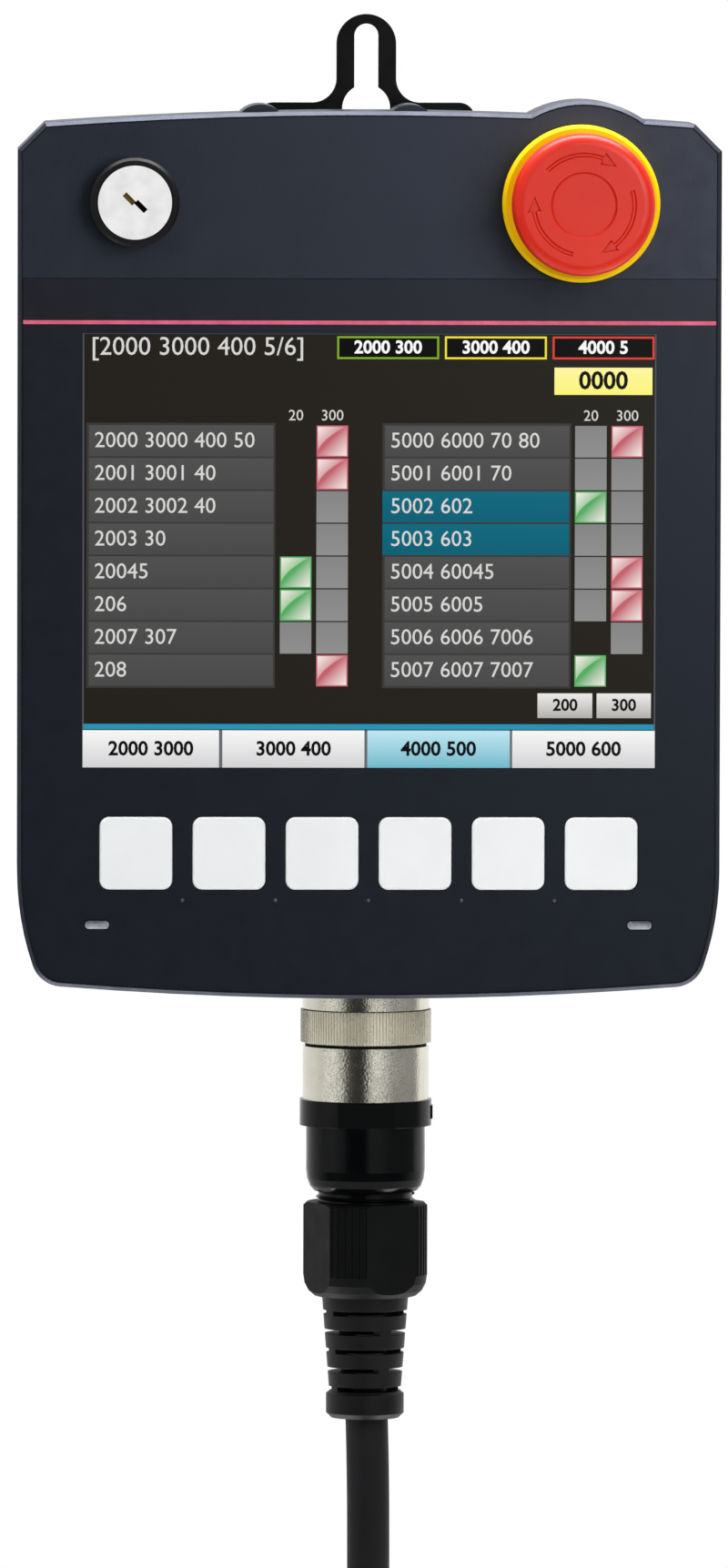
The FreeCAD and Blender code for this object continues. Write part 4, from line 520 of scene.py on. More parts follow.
def coil_points():
    """Turns of the coil: inwards in the back layer, across, and outwards in the front layer."""
    step = 2 * math.pi / POINTS_PER_TURN
    # The spline cuts the corners of its points, so they stand further out by this factor
    outset = 1 / (0.75 + 0.25 * math.cos(step))
    layer = COIL_TURNS * POINTS_PER_TURN
    cross = POINTS_PER_TURN // 2
    last = round(COIL_ENTRY / step) + cross
    points = []
    for i in range(layer + cross + layer + last):
        inward = min(i, layer) - max(0, min(i - layer - cross, layer))
        radius = COIL_OUTER + (COIL_INNER - COIL_OUTER) * inward / layer
        over = min(1.0, max(0.0, (i - layer) / cross))
        depth = COIL_LAYER * math.cos(math.pi * over)
        points.append(COIL_CENTRE + polar(radius * outset, COIL_ENTRY - step * i, depth, "Y"))
    return points


def cable(finish):
    """The cable from the bend relief through its tied coil to the far plug."""
    line = bpy.data.curves.new("cable_line", "CURVE")
    lead, tail = ([Vector(place) * MM for place in route] for route in (LEAD, TAIL))
    lay_spline(line, lead + coil_points() + tail).resolution_u = CABLE_SAMPLES
    line.bevel_depth = CABLE_RADIUS
    line.bevel_resolution = CABLE_ROUNDNESS
    line.use_fill_caps = True
    item = piece("cable_line", line, finish, "housing")
    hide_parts("cable", "cable_coil", "cable_tail")


TIE_LOW, TIE_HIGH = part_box("coil_tie")
TIE_THICKNESS = 1.3 * MM
TIE_CORNER = 5.0 * MM
TIE_STEPS = 8


def coil_tie(finish):
    """Hook-and-loop band round the coil."""
    half = TIE_THICKNESS / 2
    reach = half + TIE_CORNER
    left, right = TIE_LOW[0] + reach, TIE_HIGH[0] - reach
    front, back = TIE_LOW[1] + reach, TIE_HIGH[1] - reach
    near, far = TIE_CORNER - half, TIE_CORNER + half
    low, high = TIE_LOW[2], TIE_HIGH[2]
    section = ((near, low), (far, low), (far, high), (near, high))
    rings = []
    for x, y, start in ((right, front, -90), (right, back, 0), (left, back, 90), (left, front, 180)):
        for i in range(TIE_STEPS + 1):
            turn = math.radians(start + 90 * i / TIE_STEPS)
            rings.append([Vector((x, y, 0.0)) + polar(radius, turn, level) for radius, level in section])
    form = bmesh.new()
    across = form.loops.layers.uv.new("across")
    add_loft(form, rings, closed=True)
    for face in form.faces:
        for loop in face.loops:
            loop[across].uv = (loop.vert.co.x + loop.vert.co.y, loop.vert.co.z)
    item = formed("coil_tie_band", form, finish, "housing", 40)
    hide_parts("coil_tie")


PIN_RADIUS = 0.8 * MM
PIN_CIRCLE = 4.3 * MM
PIN_COUNT = 6
PIN_SIDES = 20
PIN_INSET = 2.0 * MM
PIN_ROOT = -513.4 * MM
NOSE_LOW, NOSE_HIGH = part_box("far_plug_nose")


def plug_pins(finish):
    """Contact pins inside the far plug's nose: one in the middle and a ring of others."""
    tip = NOSE_LOW[2] + PIN_INSET
    profile = (
        (PIN_RADIUS, PIN_ROOT),
        (PIN_RADIUS, tip + PIN_RADIUS),
        (PIN_RADIUS * 0.7, tip + PIN_RADIUS * 0.3),
        (PIN_RADIUS * 0.3, tip),
    )
    middle = middle_of(NOSE_LOW, NOSE_HIGH)
    middle.z = 0.0
    form = bmesh.new()
    for place in (middle, *(middle + polar(PIN_CIRCLE, turn) for turn in turns(PIN_COUNT))):
        add_loft(form, spun(profile, place, "Z", PIN_SIDES))
    formed("plug_pins", form, finish, "housing", 40)


# Front of the case


SHEET_LOW, SHEET_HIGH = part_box("front_sheet")
# Bluish shine of the case and of the film on it
SHEEN = (0.68, 0.74, 1.0, 1.0)
LINE_TOP = -58.3 * MM
LINE_HEIGHT = 0.8 * MM
PRINT_DEPTH = 0.03 * MM
# The greyer band fades between these depths under the top of the line, which covers its wavy edge
BAND_FADE = (0.6 * MM, 0.2 * MM)
BAND_WAVE = 0.4 * MM


def printed_sheet():
    """Satin film over the front, with a greyer band above the coloured line."""
    finish = Finish("sheet_film", (9, 14, 18), 0.42, Specular_IOR_Level=0.42, Specular_Tint=SHEEN)
    wave = finish.math("MULTIPLY", finish.noise(45), BAND_WAVE)
    level = finish.math("ADD", finish.axes(finish.place)[2], wave)
    band = finish.fade(level, *(LINE_TOP - depth for depth in BAND_FADE))
    finish.tint(band, (9, 14, 18), (15, 17, 19), 0.0, 1.0)
    finish.gloss(finish.noise(300), 0.38, 0.46)
    finish.relief(finish.noise(2600, 2.0), 0.012 * MM, 0.4)
    return finish


def front_line():
    """The pink-red line printed across the front sheet."""
    span = (SHEET_LOW[0], SHEET_HIGH[0], LINE_TOP - LINE_HEIGHT, LINE_TOP)
    finish = Finish("line_print", (226, 98, 126), 0.45, Specular_IOR_Level=0.25)
    finish.tint(finish.noise(400), (206, 88, 114), (230, 102, 130))
    mesh = plates("front_line", [span], SHEET_LOW[1], PRINT_DEPTH)
    piece("front_line", mesh, finish, "housing")


RIM_SHADOW_WIDTH = 0.3 * MM
# Y parts of the normals of the flat front and of the bevel round it
FLAT_NORMAL = -0.99
BEVEL_NORMALS = (-0.95, -0.3)


def rim_painted_shadow():
    """Thin dark strip painted as the shadow line where the front face meets the rim's bevel."""
    source = welded("front_case")
    front = min(vert.co.y for vert in source.verts)
    inward = {}
    pairs = []
    for edge in source.edges:
        if any(abs(vert.co.y - front) > WELD for vert in edge.verts) or len(edge.link_faces) != 2:
            continue
        flat, bevel = sorted(edge.link_faces, key=lambda face: face.normal.y)
        if flat.normal.y > FLAT_NORMAL or not BEVEL_NORMALS[0] < bevel.normal.y < BEVEL_NORMALS[1]:
            continue
        start, end = edge.verts
        along = (end.co - start.co).normalized()
        side = flat.calc_center_median() - start.co
        side = (side - along * side.dot(along)).normalized()
        pairs.append((start, end))
        for vert in edge.verts:
            inward[vert] = inward.get(vert, Vector()) + side
    form = bmesh.new()
    rims = {}
    for vert, side in inward.items():
        outer = vert.co - Vector((0.0, PRINT_DEPTH, 0.0))
        inner = outer + side.normalized() * RIM_SHADOW_WIDTH
        rims[vert] = (form.verts.new(outer), form.verts.new(inner))
    for start, end in pairs:
        form.faces.new((rims[start][0], rims[end][0], rims[end][1], rims[start][1]))
    source.free()
    mesh = modified(mesh_from("rim_painted_shadow", form), "SOLIDIFY", thickness=PRINT_DEPTH / 2)
    # Dark finish of the painted shadow along the rim
    finish = Finish("rim_shadow", (20, 22, 30), 0.5, Specular_IOR_Level=0.1)
    finish.tint(finish.noise(300), (17, 19, 26), (24, 26, 35))
    piece("rim_painted_shadow", mesh, finish, "housing")


KEY_COUNT = 6
KEY_DOT_RADIUS = 0.42 * MM
KEY_DOT_HEIGHT = 0.3 * MM
KEY_DOT_DROP = 9.7 * MM
KEY_DOT_LEVELS = 4
KEY_DOT_SIDES = 12


def key_dots(finish):
    """Small raised dots on the sheet under the gaps between the keys."""
    rises = [math.pi / 2 * level / KEY_DOT_LEVELS for level in range(KEY_DOT_LEVELS)]
    profile = [(KEY_DOT_RADIUS * math.cos(rise), -KEY_DOT_HEIGHT * math.sin(rise)) for rise in rises]
    boxes = [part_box(f"key_{i + 1}") for i in range(KEY_COUNT)]
    height = middle_of(*boxes[0]).z - KEY_DOT_DROP
    form = bmesh.new()
    for left, right in zip(boxes, boxes[1:]):
        centre = Vector(((left[1][0] + right[0][0]) / 2, SHEET_LOW[1], height))
        add_loft(form, spun(profile, centre, "Y", KEY_DOT_SIDES))
    formed("key_dots", form, finish, "housing", 60)


# Half the height, about the lens's middle, over which its painted highlight fades out upwards
LENS_HALF = 0.9 * MM


def lamp_lens():
    """Milky lens of a lamp: clouded inside, with a painted highlight that lightens it along its lower edge.
    """
    finish = Finish("lamp_milky", (150, 154, 162), 0.25)
    middle = middle_of(*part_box("power_lamp_window")).z
    painted_highlight = finish.fade(finish.axes(finish.place)[2], middle + LENS_HALF, middle - LENS_HALF)
    cloud_and_highlight = finish.math("MULTIPLY", finish.math("ADD", painted_highlight, finish.noise(620)), 0.5)
    finish.tint(cloud_and_highlight, (76, 78, 90), (190, 195, 202), 0.3, 0.85)
    return finish


# Depths behind the lock's face between which painted shade turns its keyway black
KEYWAY_SHADE_FADE = (0.1 * MM, 0.5 * MM)


def lock_steel():
    """Bright face of the key switch, with painted shade that blackens its keyway below its edge."""
    finish = plated("lock_face_satin", (226, 226, 226), (240, 240, 240), 0.5, 300, Metallic=0.2)
    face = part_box("key_rotor")[0][1]
    # Painted shade: the keyway's colour darkens with depth behind the face
    depth = finish.fade(finish.axes(finish.place)[1], *(face + fade for fade in KEYWAY_SHADE_FADE))
    finish.set("Base Color", finish.mix(depth, finish.source("Base Color"), shade(8, 8, 8)))
    return finish


# Screen picture: places in millimetres from the window's upper left corner


WINDOW_LEFT = -59.1
WINDOW_TOP = -60.8
WINDOW_WIDTH = 118.2
WINDOW_HEIGHT = 89.7
SCREEN_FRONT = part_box("touch_panel")[0][1]
LAYER = 0.03 * MM
PIXEL_PITCH = 0.18 * MM
PIXEL_CONTRAST = 0.04
EDGE_WIDTH = 0.3
CORNER_GAP = 0.01
ROWS = 8
ROW_TOP = 19.1
ROW_PITCH = 6.76
ROW_LINE = 0.35
LABEL_WIDTH = 38.9
LEFT_LABEL = 0.8
RIGHT_LABEL = 61.8
TRAY_EDGE = 0.5
TRAY_FOOT = 0.1
TRAY_END = 0.4
TEAL_ROWS = (2, 3)
LAMP_SIZE = 6.5
LEFT_LAMPS = (40.7, 48.2)
RIGHT_LAMPS = (101.5, 109.0)
# Lamps of each column by row: dark, grey, red or green
LAMP_COLUMNS = (
    (LEFT_LAMPS[0], "....ggx."),
    (LEFT_LAMPS[1], "rrxxxxxr"),
    (RIGHT_LAMPS[0], "xxgxxx.g"),
    (RIGHT_LAMPS[1], "rxxxrrx."),
)
LAMP_SHINE = (0.93, 0.86, 0.82, 1.0)
STATUS_LEFT = 52.4
STATUS_PITCH = 22.2
STATUS_WIDTH = 21.0
STATUS_TOP = 0.7
STATUS_HEIGHT = 4.7
STATUS_BORDER = 0.4
STATUS_COLOURS = (("green", (128, 170, 40)), ("yellow", (240, 224, 60)), ("red", (222, 66, 54)))
# Left, top, width and height
BUTTON_YELLOW = (97.2, 7.1, 20.2, 5.6)
BUTTONS = ((93.9, 74.3, 11.3, 5.1), (106.1, 74.3, 11.2, 5.1))
BAR = (0, 80.7, WINDOW_WIDTH, 1.1)
# Left and right ends
TABS = ((0.1, 28.2), (28.9, 58.2), (58.8, 88.2), (88.7, 118.1))
TAB_TOP = 82.0
CHOSEN_TAB = 2


def lit(name, low, high=None):
    """A glowing colour of the screen, from its lower to its upper edge, behind the pixel grid."""
    finish = glowing(name)
    x, _, z = finish.axes(finish.place)
    grid = finish.math("MULTIPLY", finish.weave(PIXEL_PITCH, x, z), PIXEL_CONTRAST)
    factor = finish.math("ADD", finish.axes(finish.across)[1], grid)
    finish.tint(factor, low, high or low, 0.0, 1.0, "Emission Color")
    return finish


def lamp_finish(name, deep, mid):
    """A glossy lamp: white in one corner, a curved edge, and a second shine in the other corner."""
    finish = glowing(name)
    deep, mid = shade(*deep), shade(*mid)
    u, v = finish.axes(finish.across)[:2]
    slide = finish.math("MULTIPLY", finish.math("ADD", u, finish.math("SUBTRACT", 1.0, v)), 0.5)
    upper = finish.ramp(slide, [(0.02, LAMP_SHINE), (0.5, mid)])
    lower = finish.ramp(slide, [(0.45, deep), (1.0, LAMP_SHINE)])
    above = finish.fade(finish.math("SUBTRACT", v, finish.math("POWER", u, 0.5)), -0.02, 0.03)
    outward = [finish.math("ABSOLUTE", finish.math("SUBTRACT", way, 0.5)) for way in (u, v)]
    border = finish.fade(finish.math("MAXIMUM", *outward), 0.45, 0.47)
    finish.set("Emission Color", finish.mix(border, finish.mix(above, lower, upper), deep))
    return finish


def on_screen(left, top, width, height):
    """A span of the front from a place on the screen."""
    x0 = WINDOW_LEFT + left
    z1 = WINDOW_TOP - top
    return (x0 * MM, (x0 + width) * MM, (z1 - height) * MM, z1 * MM)


def screen_part(name, spots, finish, layer):
    """Plates of one finish; layers count forwards from the touch panel."""
    spans = [on_screen(*spot) for spot in spots]
    mesh = plates(name, spans, SCREEN_FRONT - layer * LAYER, LAYER)
    piece(name, mesh, finish, "housing")


def frame_spots(left, top, width, height, border):
    """Four bars round a span, a hair apart at the corners."""
    inset = border + CORNER_GAP
    return [
        (left, top, width, border),
        (left, top + height - border, width, border),
        (left, top + inset, border, height - 2 * inset),
        (left + width - border, top + inset, border, height - 2 * inset),
    ]


def row_top(row):
    return ROW_TOP + ROW_PITCH * row


def screen_ground():
    """Dark ground of the picture, and a grey edge along its top and sides."""
    ground = lit("screen_ground", (34, 31, 25))
    screen_part("screen_ground", [(0, 0, WINDOW_WIDTH, WINDOW_HEIGHT)], ground, 0)
    edges = [(0, 0, WINDOW_WIDTH, EDGE_WIDTH)]
    for left in (0, WINDOW_WIDTH - EDGE_WIDTH):
        edges.append((left, EDGE_WIDTH + CORNER_GAP, EDGE_WIDTH, TAB_TOP))
    screen_part("screen_edge", edges, lit("screen_edge", (80, 83, 90)), 1)


def screen_table():
    """Two columns of grey rows on darker trays, some of them teal."""
    tray_height = ROW_PITCH * ROWS + TRAY_EDGE + TRAY_FOOT
    trays = [(left, ROW_TOP - TRAY_EDGE, LABEL_WIDTH, tray_height) for left in (LEFT_LABEL, RIGHT_LABEL)]
    screen_part("screen_row_tray", trays, lit("row_shadow", (58, 56, 54)), 1)
    height = ROW_PITCH - ROW_LINE
    width = LABEL_WIDTH - TRAY_END
    grey = []
    for left, others in ((LEFT_LABEL, ()), (RIGHT_LABEL, TEAL_ROWS)):
        for row in range(ROWS):
            if row not in others:
                grey.append((left + TRAY_EDGE, row_top(row), width - TRAY_EDGE, height))
    screen_part("screen_rows", grey, lit("row_grey", (73, 72, 72), (79, 79, 79)), 2)
    teal = [(RIGHT_LABEL, row_top(row), width, height) for row in TEAL_ROWS]
    screen_part("screen_rows_teal", teal, lit("row_teal", (3, 95, 116), (5, 104, 127)), 2)


def screen_lamps():
    """Square lamps beside the rows, one piece for each colour."""
    lamps = (
        ("x", "grey", lit("lamp_grey", (142, 142, 142), (132, 132, 133))),
        ("r", "red", lamp_finish("lamp_red", (196, 96, 110), (206, 124, 134))),
        ("g", "green", lamp_finish("lamp_green", (84, 172, 98), (120, 190, 124))),
    )
    for letter, name, finish in lamps:
        spots = []
        for left, column in LAMP_COLUMNS:
            for row, lamp in enumerate(column):
                if lamp == letter:
                    spots.append((left, row_top(row), LAMP_SIZE, LAMP_SIZE))
        screen_part(f"screen_lamps_{name}", spots, finish, 1)


def screen_controls():
    """Status boxes, buttons, and the tabs under their bar."""
    boxes = []
    for i in range(len(STATUS_COLOURS)):
        boxes.append((STATUS_LEFT + STATUS_PITCH * i, STATUS_TOP, STATUS_WIDTH, STATUS_HEIGHT))
    screen_part("screen_status", boxes, lit("status_black", (3, 3, 3)), 1)
    for (name, colour), spot in zip(STATUS_COLOURS, boxes):
        bars = frame_spots(*spot, STATUS_BORDER)
        screen_part(f"screen_status_{name}", bars, lit(f"status_{name}", colour), 2)
    yellow = lit("button_yellow", (250, 243, 120), (253, 245, 158))
    screen_part("screen_button_yellow", [BUTTON_YELLOW], yellow, 1)
    screen_part("screen_buttons", BUTTONS, lit("button_light", (176, 174, 171), (236, 234, 232)), 1)
    screen_part("screen_bar", [BAR], lit("bar_teal", (36, 146, 180)), 1)
    height = WINDOW_HEIGHT - TAB_TOP
    gaps = (0, TAB_TOP, WINDOW_WIDTH, height)
    screen_part("screen_tab_gaps", [gaps], lit("tab_gap", (104, 106, 110)), 1)
    tabs = [(left, TAB_TOP, right - left, height) for left, right in TABS]
    chosen = tabs.pop(CHOSEN_TAB)
    screen_part("screen_tabs", tabs, lit("tab_white", (210, 210, 212), (246, 246, 245)), 2)
    screen_part("screen_tab_chosen", [chosen], lit("tab_cyan", (110, 184, 202), (190, 230, 241)), 2)


# Plain numbers in place of the words on the screen, each of about the width of what it stands for
LEFT_NUMBERS = (
    "2000 3000 400 50", "2001 3001 40", "2002 3002 40", "2003 30", "20045", "206", "2007 307", "208",
)
RIGHT_NUMBERS = (
    "5000 6000 70 80", "5001 6001 70", "5002 602", "5003 603",
    "5004 60045", "5005 6005", "5006 6006 7006", "5007 6007 7007",
)
HEAD_NUMBERS = ("20", "300")
STATUS_NUMBERS = ("2000 300", "3000 400", "4000 5")
TAB_NUMBERS = ("2000 3000", "3000 400", "4000 500", "5000 600")
# Text, its left end or middle, its middle line below the window's top, height of digits, alignment
TITLE = ("[2000 3000 400 5/6]", 1.6, 3.0, 3.9, "LEFT")
BUTTON_NUMBERS = (
    ("0000", 107.3, 9.9, 3.7, "CENTER"),
    ("200", 99.6, 76.8, 2.5, "CENTER"),
    ("300", 111.7, 76.8, 2.5, "CENTER"),
)
ROW_INDENT = 1.6
ROW_LIFT = 0.2
ROW_TEXT = 3.3
HEAD_MIDDLE = 17.1
HEAD_TEXT = 2.3
STATUS_TEXT = 2.7
TAB_DROP = 3.9
TAB_TEXT = 3.0
# Height of a digit in a font of size 1, and how much bold digits swell for their height
DIGIT_SIZE = 0.73
DIGIT_WEIGHT = 0.035
DIGIT_LAYER = 3
DIGIT_DEPTH = LAYER / 4
DIGIT_SAMPLES = 3
FRONT = Matrix.Rotation(math.pi / 2, 4, "X")


def digits(name, items, finish, weight=0.0):
    """Plain numbers on the screen; items are (text, left, middle, height, align)."""
    front = SCREEN_FRONT - DIGIT_LAYER * LAYER - DIGIT_DEPTH
    form = bmesh.new()
    for text, left, middle, height, align in items:
        font = bpy.data.curves.new("digits", "FONT")
        font.body = text
        font.size = height / DIGIT_SIZE * MM
        font.align_x = align
        font.align_y = "CENTER"
        font.resolution_u = DIGIT_SAMPLES
        font.offset = weight * height * MM
        font.extrude = DIGIT_DEPTH
        item = bpy.data.objects.new("digits", font)
        mesh = bpy.data.meshes.new_from_object(item)
        place = Vector(((WINDOW_LEFT + left) * MM, front, (WINDOW_TOP - middle) * MM))
        mesh.transform(Matrix.Translation(place) @ FRONT)
        form.from_mesh(mesh)
        bpy.data.objects.remove(item)
        bpy.data.meshes.remove(mesh)
        bpy.data.curves.remove(font)
    bmesh.ops.remove_doubles(form, verts=form.verts, dist=WELD)
    piece(name, mesh_from(name, form), finish, "housing")


def screen_numbers():
    """Pale numbers of the table, white ones in the status boxes and dark ones on buttons and tabs."""
    pale = [TITLE]
    for left, numbers in ((LEFT_LABEL, LEFT_NUMBERS), (RIGHT_LABEL, RIGHT_NUMBERS)):
        for row, text in enumerate(numbers):
            middle = row_top(row) + ROW_PITCH / 2 - ROW_LIFT
            pale.append((text, left + ROW_INDENT, middle, ROW_TEXT, "LEFT"))
    for lamps in (LEFT_LAMPS, RIGHT_LAMPS):
        for text, left in zip(HEAD_NUMBERS, lamps):
            pale.append((text, left + LAMP_SIZE / 2, HEAD_MIDDLE, HEAD_TEXT, "CENTER"))
    digits("screen_digits_pale", pale, lit("digits_pale", (214, 214, 212)))
    white = []
    for i, text in enumerate(STATUS_NUMBERS):
        middle = STATUS_LEFT + STATUS_PITCH * i + STATUS_WIDTH / 2
        white.append((text, middle, STATUS_TOP + STATUS_HEIGHT / 2, STATUS_TEXT, "CENTER"))
    digits("screen_digits_white", white, lit("digits_white", (246, 246, 246)), DIGIT_WEIGHT)
    dark = list(BUTTON_NUMBERS)
    for text, (left, right) in zip(TAB_NUMBERS, TABS):
        dark.append((text, (left + right) / 2, TAB_TOP + TAB_DROP, TAB_TEXT, "CENTER"))
    digits("screen_digits_dark", dark, lit("digits_dark", (8, 8, 10)), DIGIT_WEIGHT)


# Stop button


STOP_LOW, STOP_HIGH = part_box("estop_head")
STOP_CENTRE = middle_of(STOP_LOW, STOP_HIGH)
STOP_CENTRE.y = STOP_LOW[1]
STOP_RADIUS = (STOP_HIGH[0] - STOP_LOW[0]) / 2
STOP_HEIGHT = 9.0 * MM
STOP_ROUNDING = 2.2 * MM
STOP_BACK_ROUNDING = 0.4 * MM
STOP_SEGMENTS = 144
ROUNDING_STEPS = 6
DISH_RADIUS = 6.85 * MM
DISH_DEPTH = 0.6 * MM
DISH_SLOPE = 0.45 * MM
SKIRT_RADIUS = 10.0 * MM
FACE_EDGE = 0.12 * MM
ARROW_COUNT = 3
ARROW_RADIUS = 10.3 * MM
ARROW_HALF = 0.5 * MM
ARROW_DEPTH = 0.5 * MM
ARROW_FLOOR = 0.4
ARROW_START = 137.0
ARROW_SPAN = 87.0
ARROW_HEAD = 18.0
ARROW_HEAD_HALF = 1.4 * MM
ARROW_STEPS = 14


def stop_profile():
    """Outline of the head from the middle of its dish to its skirt: (radius, depth behind the front)."""
    floor_radius = DISH_RADIUS - DISH_SLOPE
    dish = [(floor_radius - FACE_EDGE, DISH_DEPTH), (floor_radius, DISH_DEPTH), (DISH_RADIUS, 0.0)]
    shoulder = STOP_RADIUS - STOP_ROUNDING
    face = [(DISH_RADIUS + FACE_EDGE, 0.0), (shoulder - FACE_EDGE, 0.0)]
    rounding = []
    for i in range(ROUNDING_STEPS + 1):
        turn = math.pi / 2 * i / ROUNDING_STEPS
        rounding.append((shoulder + STOP_ROUNDING * math.sin(turn), STOP_ROUNDING * (1 - math.cos(turn))))
    back = [
        (STOP_RADIUS, STOP_HEIGHT - STOP_BACK_ROUNDING),
        (STOP_RADIUS - STOP_BACK_ROUNDING, STOP_HEIGHT),
        (SKIRT_RADIUS, STOP_HEIGHT),
        (SKIRT_RADIUS, STOP_HIGH[1] - STOP_LOW[1]),
    ]
    return dish + face + rounding + back


def arrow_outline(start, narrow):
    """Outline of one curved arrow: (radius, angle) pairs; narrow scales its width."""
    neck = start - ARROW_SPAN + ARROW_HEAD
    angles = [start + (neck - start) * i / ARROW_STEPS for i in range(ARROW_STEPS + 1)]
    half = ARROW_HALF * narrow
    wing = ARROW_HEAD_HALF * (1 + narrow) / 2
    slip = ARROW_HEAD * (1 - narrow) / 6
    outer = [(ARROW_RADIUS + half, angle) for angle in angles]
    head = [
        (ARROW_RADIUS + wing, neck - slip),
        (ARROW_RADIUS, neck - ARROW_HEAD + slip),
        (ARROW_RADIUS - wing, neck - slip),
    ]
    inner = [(ARROW_RADIUS - half, angle) for angle in reversed(angles)]
    return outer + head + inner


def arrow_cutter():
    """Tapered arrows that are sunk into the head's face."""
    form = bmesh.new()
    for number in range(ARROW_COUNT):
        start = ARROW_START - 360 / ARROW_COUNT * number
        rings = []
        for narrow, depth in ((2 - ARROW_FLOOR, -ARROW_DEPTH), (ARROW_FLOOR, ARROW_DEPTH)):
            ring = []
            for radius, angle in arrow_outline(start, narrow):
                ring.append(STOP_CENTRE + polar(radius, math.radians(angle), depth, "Y"))
            rings.append(ring)
        add_loft(form, rings)
    return mesh_from("arrow_cutter", form)


def stop_head(finish):
    """Red head with a shallow round recess and three engraved arrows."""
    form = bmesh.new()
    add_loft(form, spun(stop_profile(), STOP_CENTRE, "Y", STOP_SEGMENTS))
    mesh = cut(mesh_from("stop_head", form), arrow_cutter())
    item = piece("stop_head", mesh, finish, "estop_button")
    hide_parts("estop_head")


# Connector


RING_LOW, RING_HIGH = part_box("coupling_ring")
RING_RIDGES = 124
RIDGE_DEPTH = 0.36 * MM
RING_BEVEL = 0.2 * MM
RING_RISE = 0.15 * MM
RING_GROWTH = 0.25 * MM
RING_LIP = 0.4 * MM
RING_WALL = 3.0 * MM
SLEEVE_TOP = -209.3 * MM
SEAL_GAP = 0.1 * MM
SEAL_RADIUS = 12.65 * MM
SEAL_INNER = 11.1 * MM
THREAD_TOP = -240.15 * MM
THREAD_PITCH = 1.25 * MM
THREAD_ROOT = 9.7 * MM
THREAD_CREST = 10.35 * MM
THREAD_HALF = 0.5 * MM
THREAD_STEPS = 72
CONNECTOR_AXIS = Vector((0.0, CONNECTOR_Y, 0.0))


def knurled_ring(finish):
    """Coupling ring with fine straight ridges that run out in a bevel at both ends."""
    outer = (RING_HIGH[0] - RING_LOW[0]) / 2 + RING_GROWTH
    root, inner = outer - RIDGE_DEPTH, outer - RING_WALL
    end = root - RIDGE_DEPTH
    top, bottom = RING_HIGH[2] + RING_RISE, RING_LOW[2] - RING_LIP
    levels = (
        (top, end, end),
        (top - RING_BEVEL, outer, root),
        (bottom + RING_BEVEL, outer, root),
        (bottom, end, end),
        (bottom, inner, inner),
        (top, inner, inner),
    )
    rings = []
    for level, crest, valley in levels:
        ring = []
        for i, turn in enumerate(turns(4 * RING_RIDGES)):
            ring.append(CONNECTOR_AXIS + polar(crest if i % 4 < 2 else valley, turn, level))
        rings.append(ring)
    form = bmesh.new()
    add_loft(form, rings, closed=True)
    item = formed("knurled_ring", form, finish, "coupling", 20)
    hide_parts("coupling_ring")


def seal_ring(finish):
    """Black seal that fills the groove between the coupling ring and the sleeve."""
    top, bottom = RING_LOW[2] - RING_LIP - SEAL_GAP, SLEEVE_TOP
    profile = (
        (SEAL_INNER, top),
        (SEAL_RADIUS - SEAL_GAP, top),
        (SEAL_RADIUS, (top + bottom) / 2),
        (SEAL_RADIUS - SEAL_GAP, bottom),
        (SEAL_INNER, bottom),
    )
    form = bmesh.new()
    add_loft(form, spun(profile, CONNECTOR_AXIS, "Z"), closed=True)
    formed("seal_ring", form, finish, "housing", 35)


def neck_thread(finish):
    """The turn of thread that shows between the backshell and the gland nut."""
    section = ((THREAD_ROOT, THREAD_HALF), (THREAD_CREST, 0.0), (THREAD_ROOT, -THREAD_HALF))
    rings = []
    for i in range(THREAD_STEPS + 1):
        part = i / THREAD_STEPS
        level = THREAD_TOP - THREAD_PITCH * part
        ring = []
        for radius, rise in section:
            ring.append(CONNECTOR_AXIS + polar(radius, 2 * math.pi * part, level + rise))
        rings.append(ring)
    form = bmesh.new()
    add_loft(form, rings)
    formed("neck_thread", form, finish, "housing")


# Screws and grip on the back


CROSS_HALF_WIDTH = 0.4 * MM
CROSS_DEPTH = 0.9 * MM
CROSS_REACH = 0.58
CROSS_TAPER = 0.4


def loose_boxes(form):
    """Lowest and highest corners of each connected part of a bmesh."""
    boxes = []
    left = set(form.verts)
    while left:
        group = []
        front = [left.pop()]
        while front:
            vert = front.pop()
            group.append(vert.co)
            for edge in vert.link_edges:
                other = edge.other_vert(vert)
                if other in left:
                    left.remove(other)
                    front.append(other)
        low, high = (Vector([end(way) for way in zip(*group)]) for end in (min, max))
        boxes.append((low, high))
    return boxes


def cross_cutter(boxes):
    """A cross recess for each screw head at the back: two bars that narrow towards their floor."""
    form = bmesh.new()
    for low, high in boxes:
        middle = (low + high) / 2
        reach = (high.x - low.x) / 2 * CROSS_REACH
        for turned in (False, True):
            rings = []
            for level, narrow in ((CROSS_DEPTH, 1.0), (-CROSS_DEPTH, CROSS_TAPER)):
                ring = []
                for side, up in ((-1, -1), (1, -1), (1, 1), (-1, 1)):
                    along, wide = side * reach * narrow, up * CROSS_HALF_WIDTH
                    offset = (wide, 0.0, along) if turned else (along, 0.0, wide)
                    ring.append(Vector((middle.x, high.y + level, middle.z)) + Vector(offset))
                rings.append(ring)
            add_loft(form, rings)
    return mesh_from("cross_cutter", form)


def crossed_screws(node, finish):
    """The screws of a node, with a cross recess in the heads that show at the back."""
    form = welded(node)
    boxes = [span for span in loose_boxes(form) if span[1].y > 0.0]
    mesh = cut(mesh_from(f"{node}_crossed", form), cross_cutter(boxes))
    item = piece(f"{node}_crossed", mesh, finish, "housing")
    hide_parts(node)


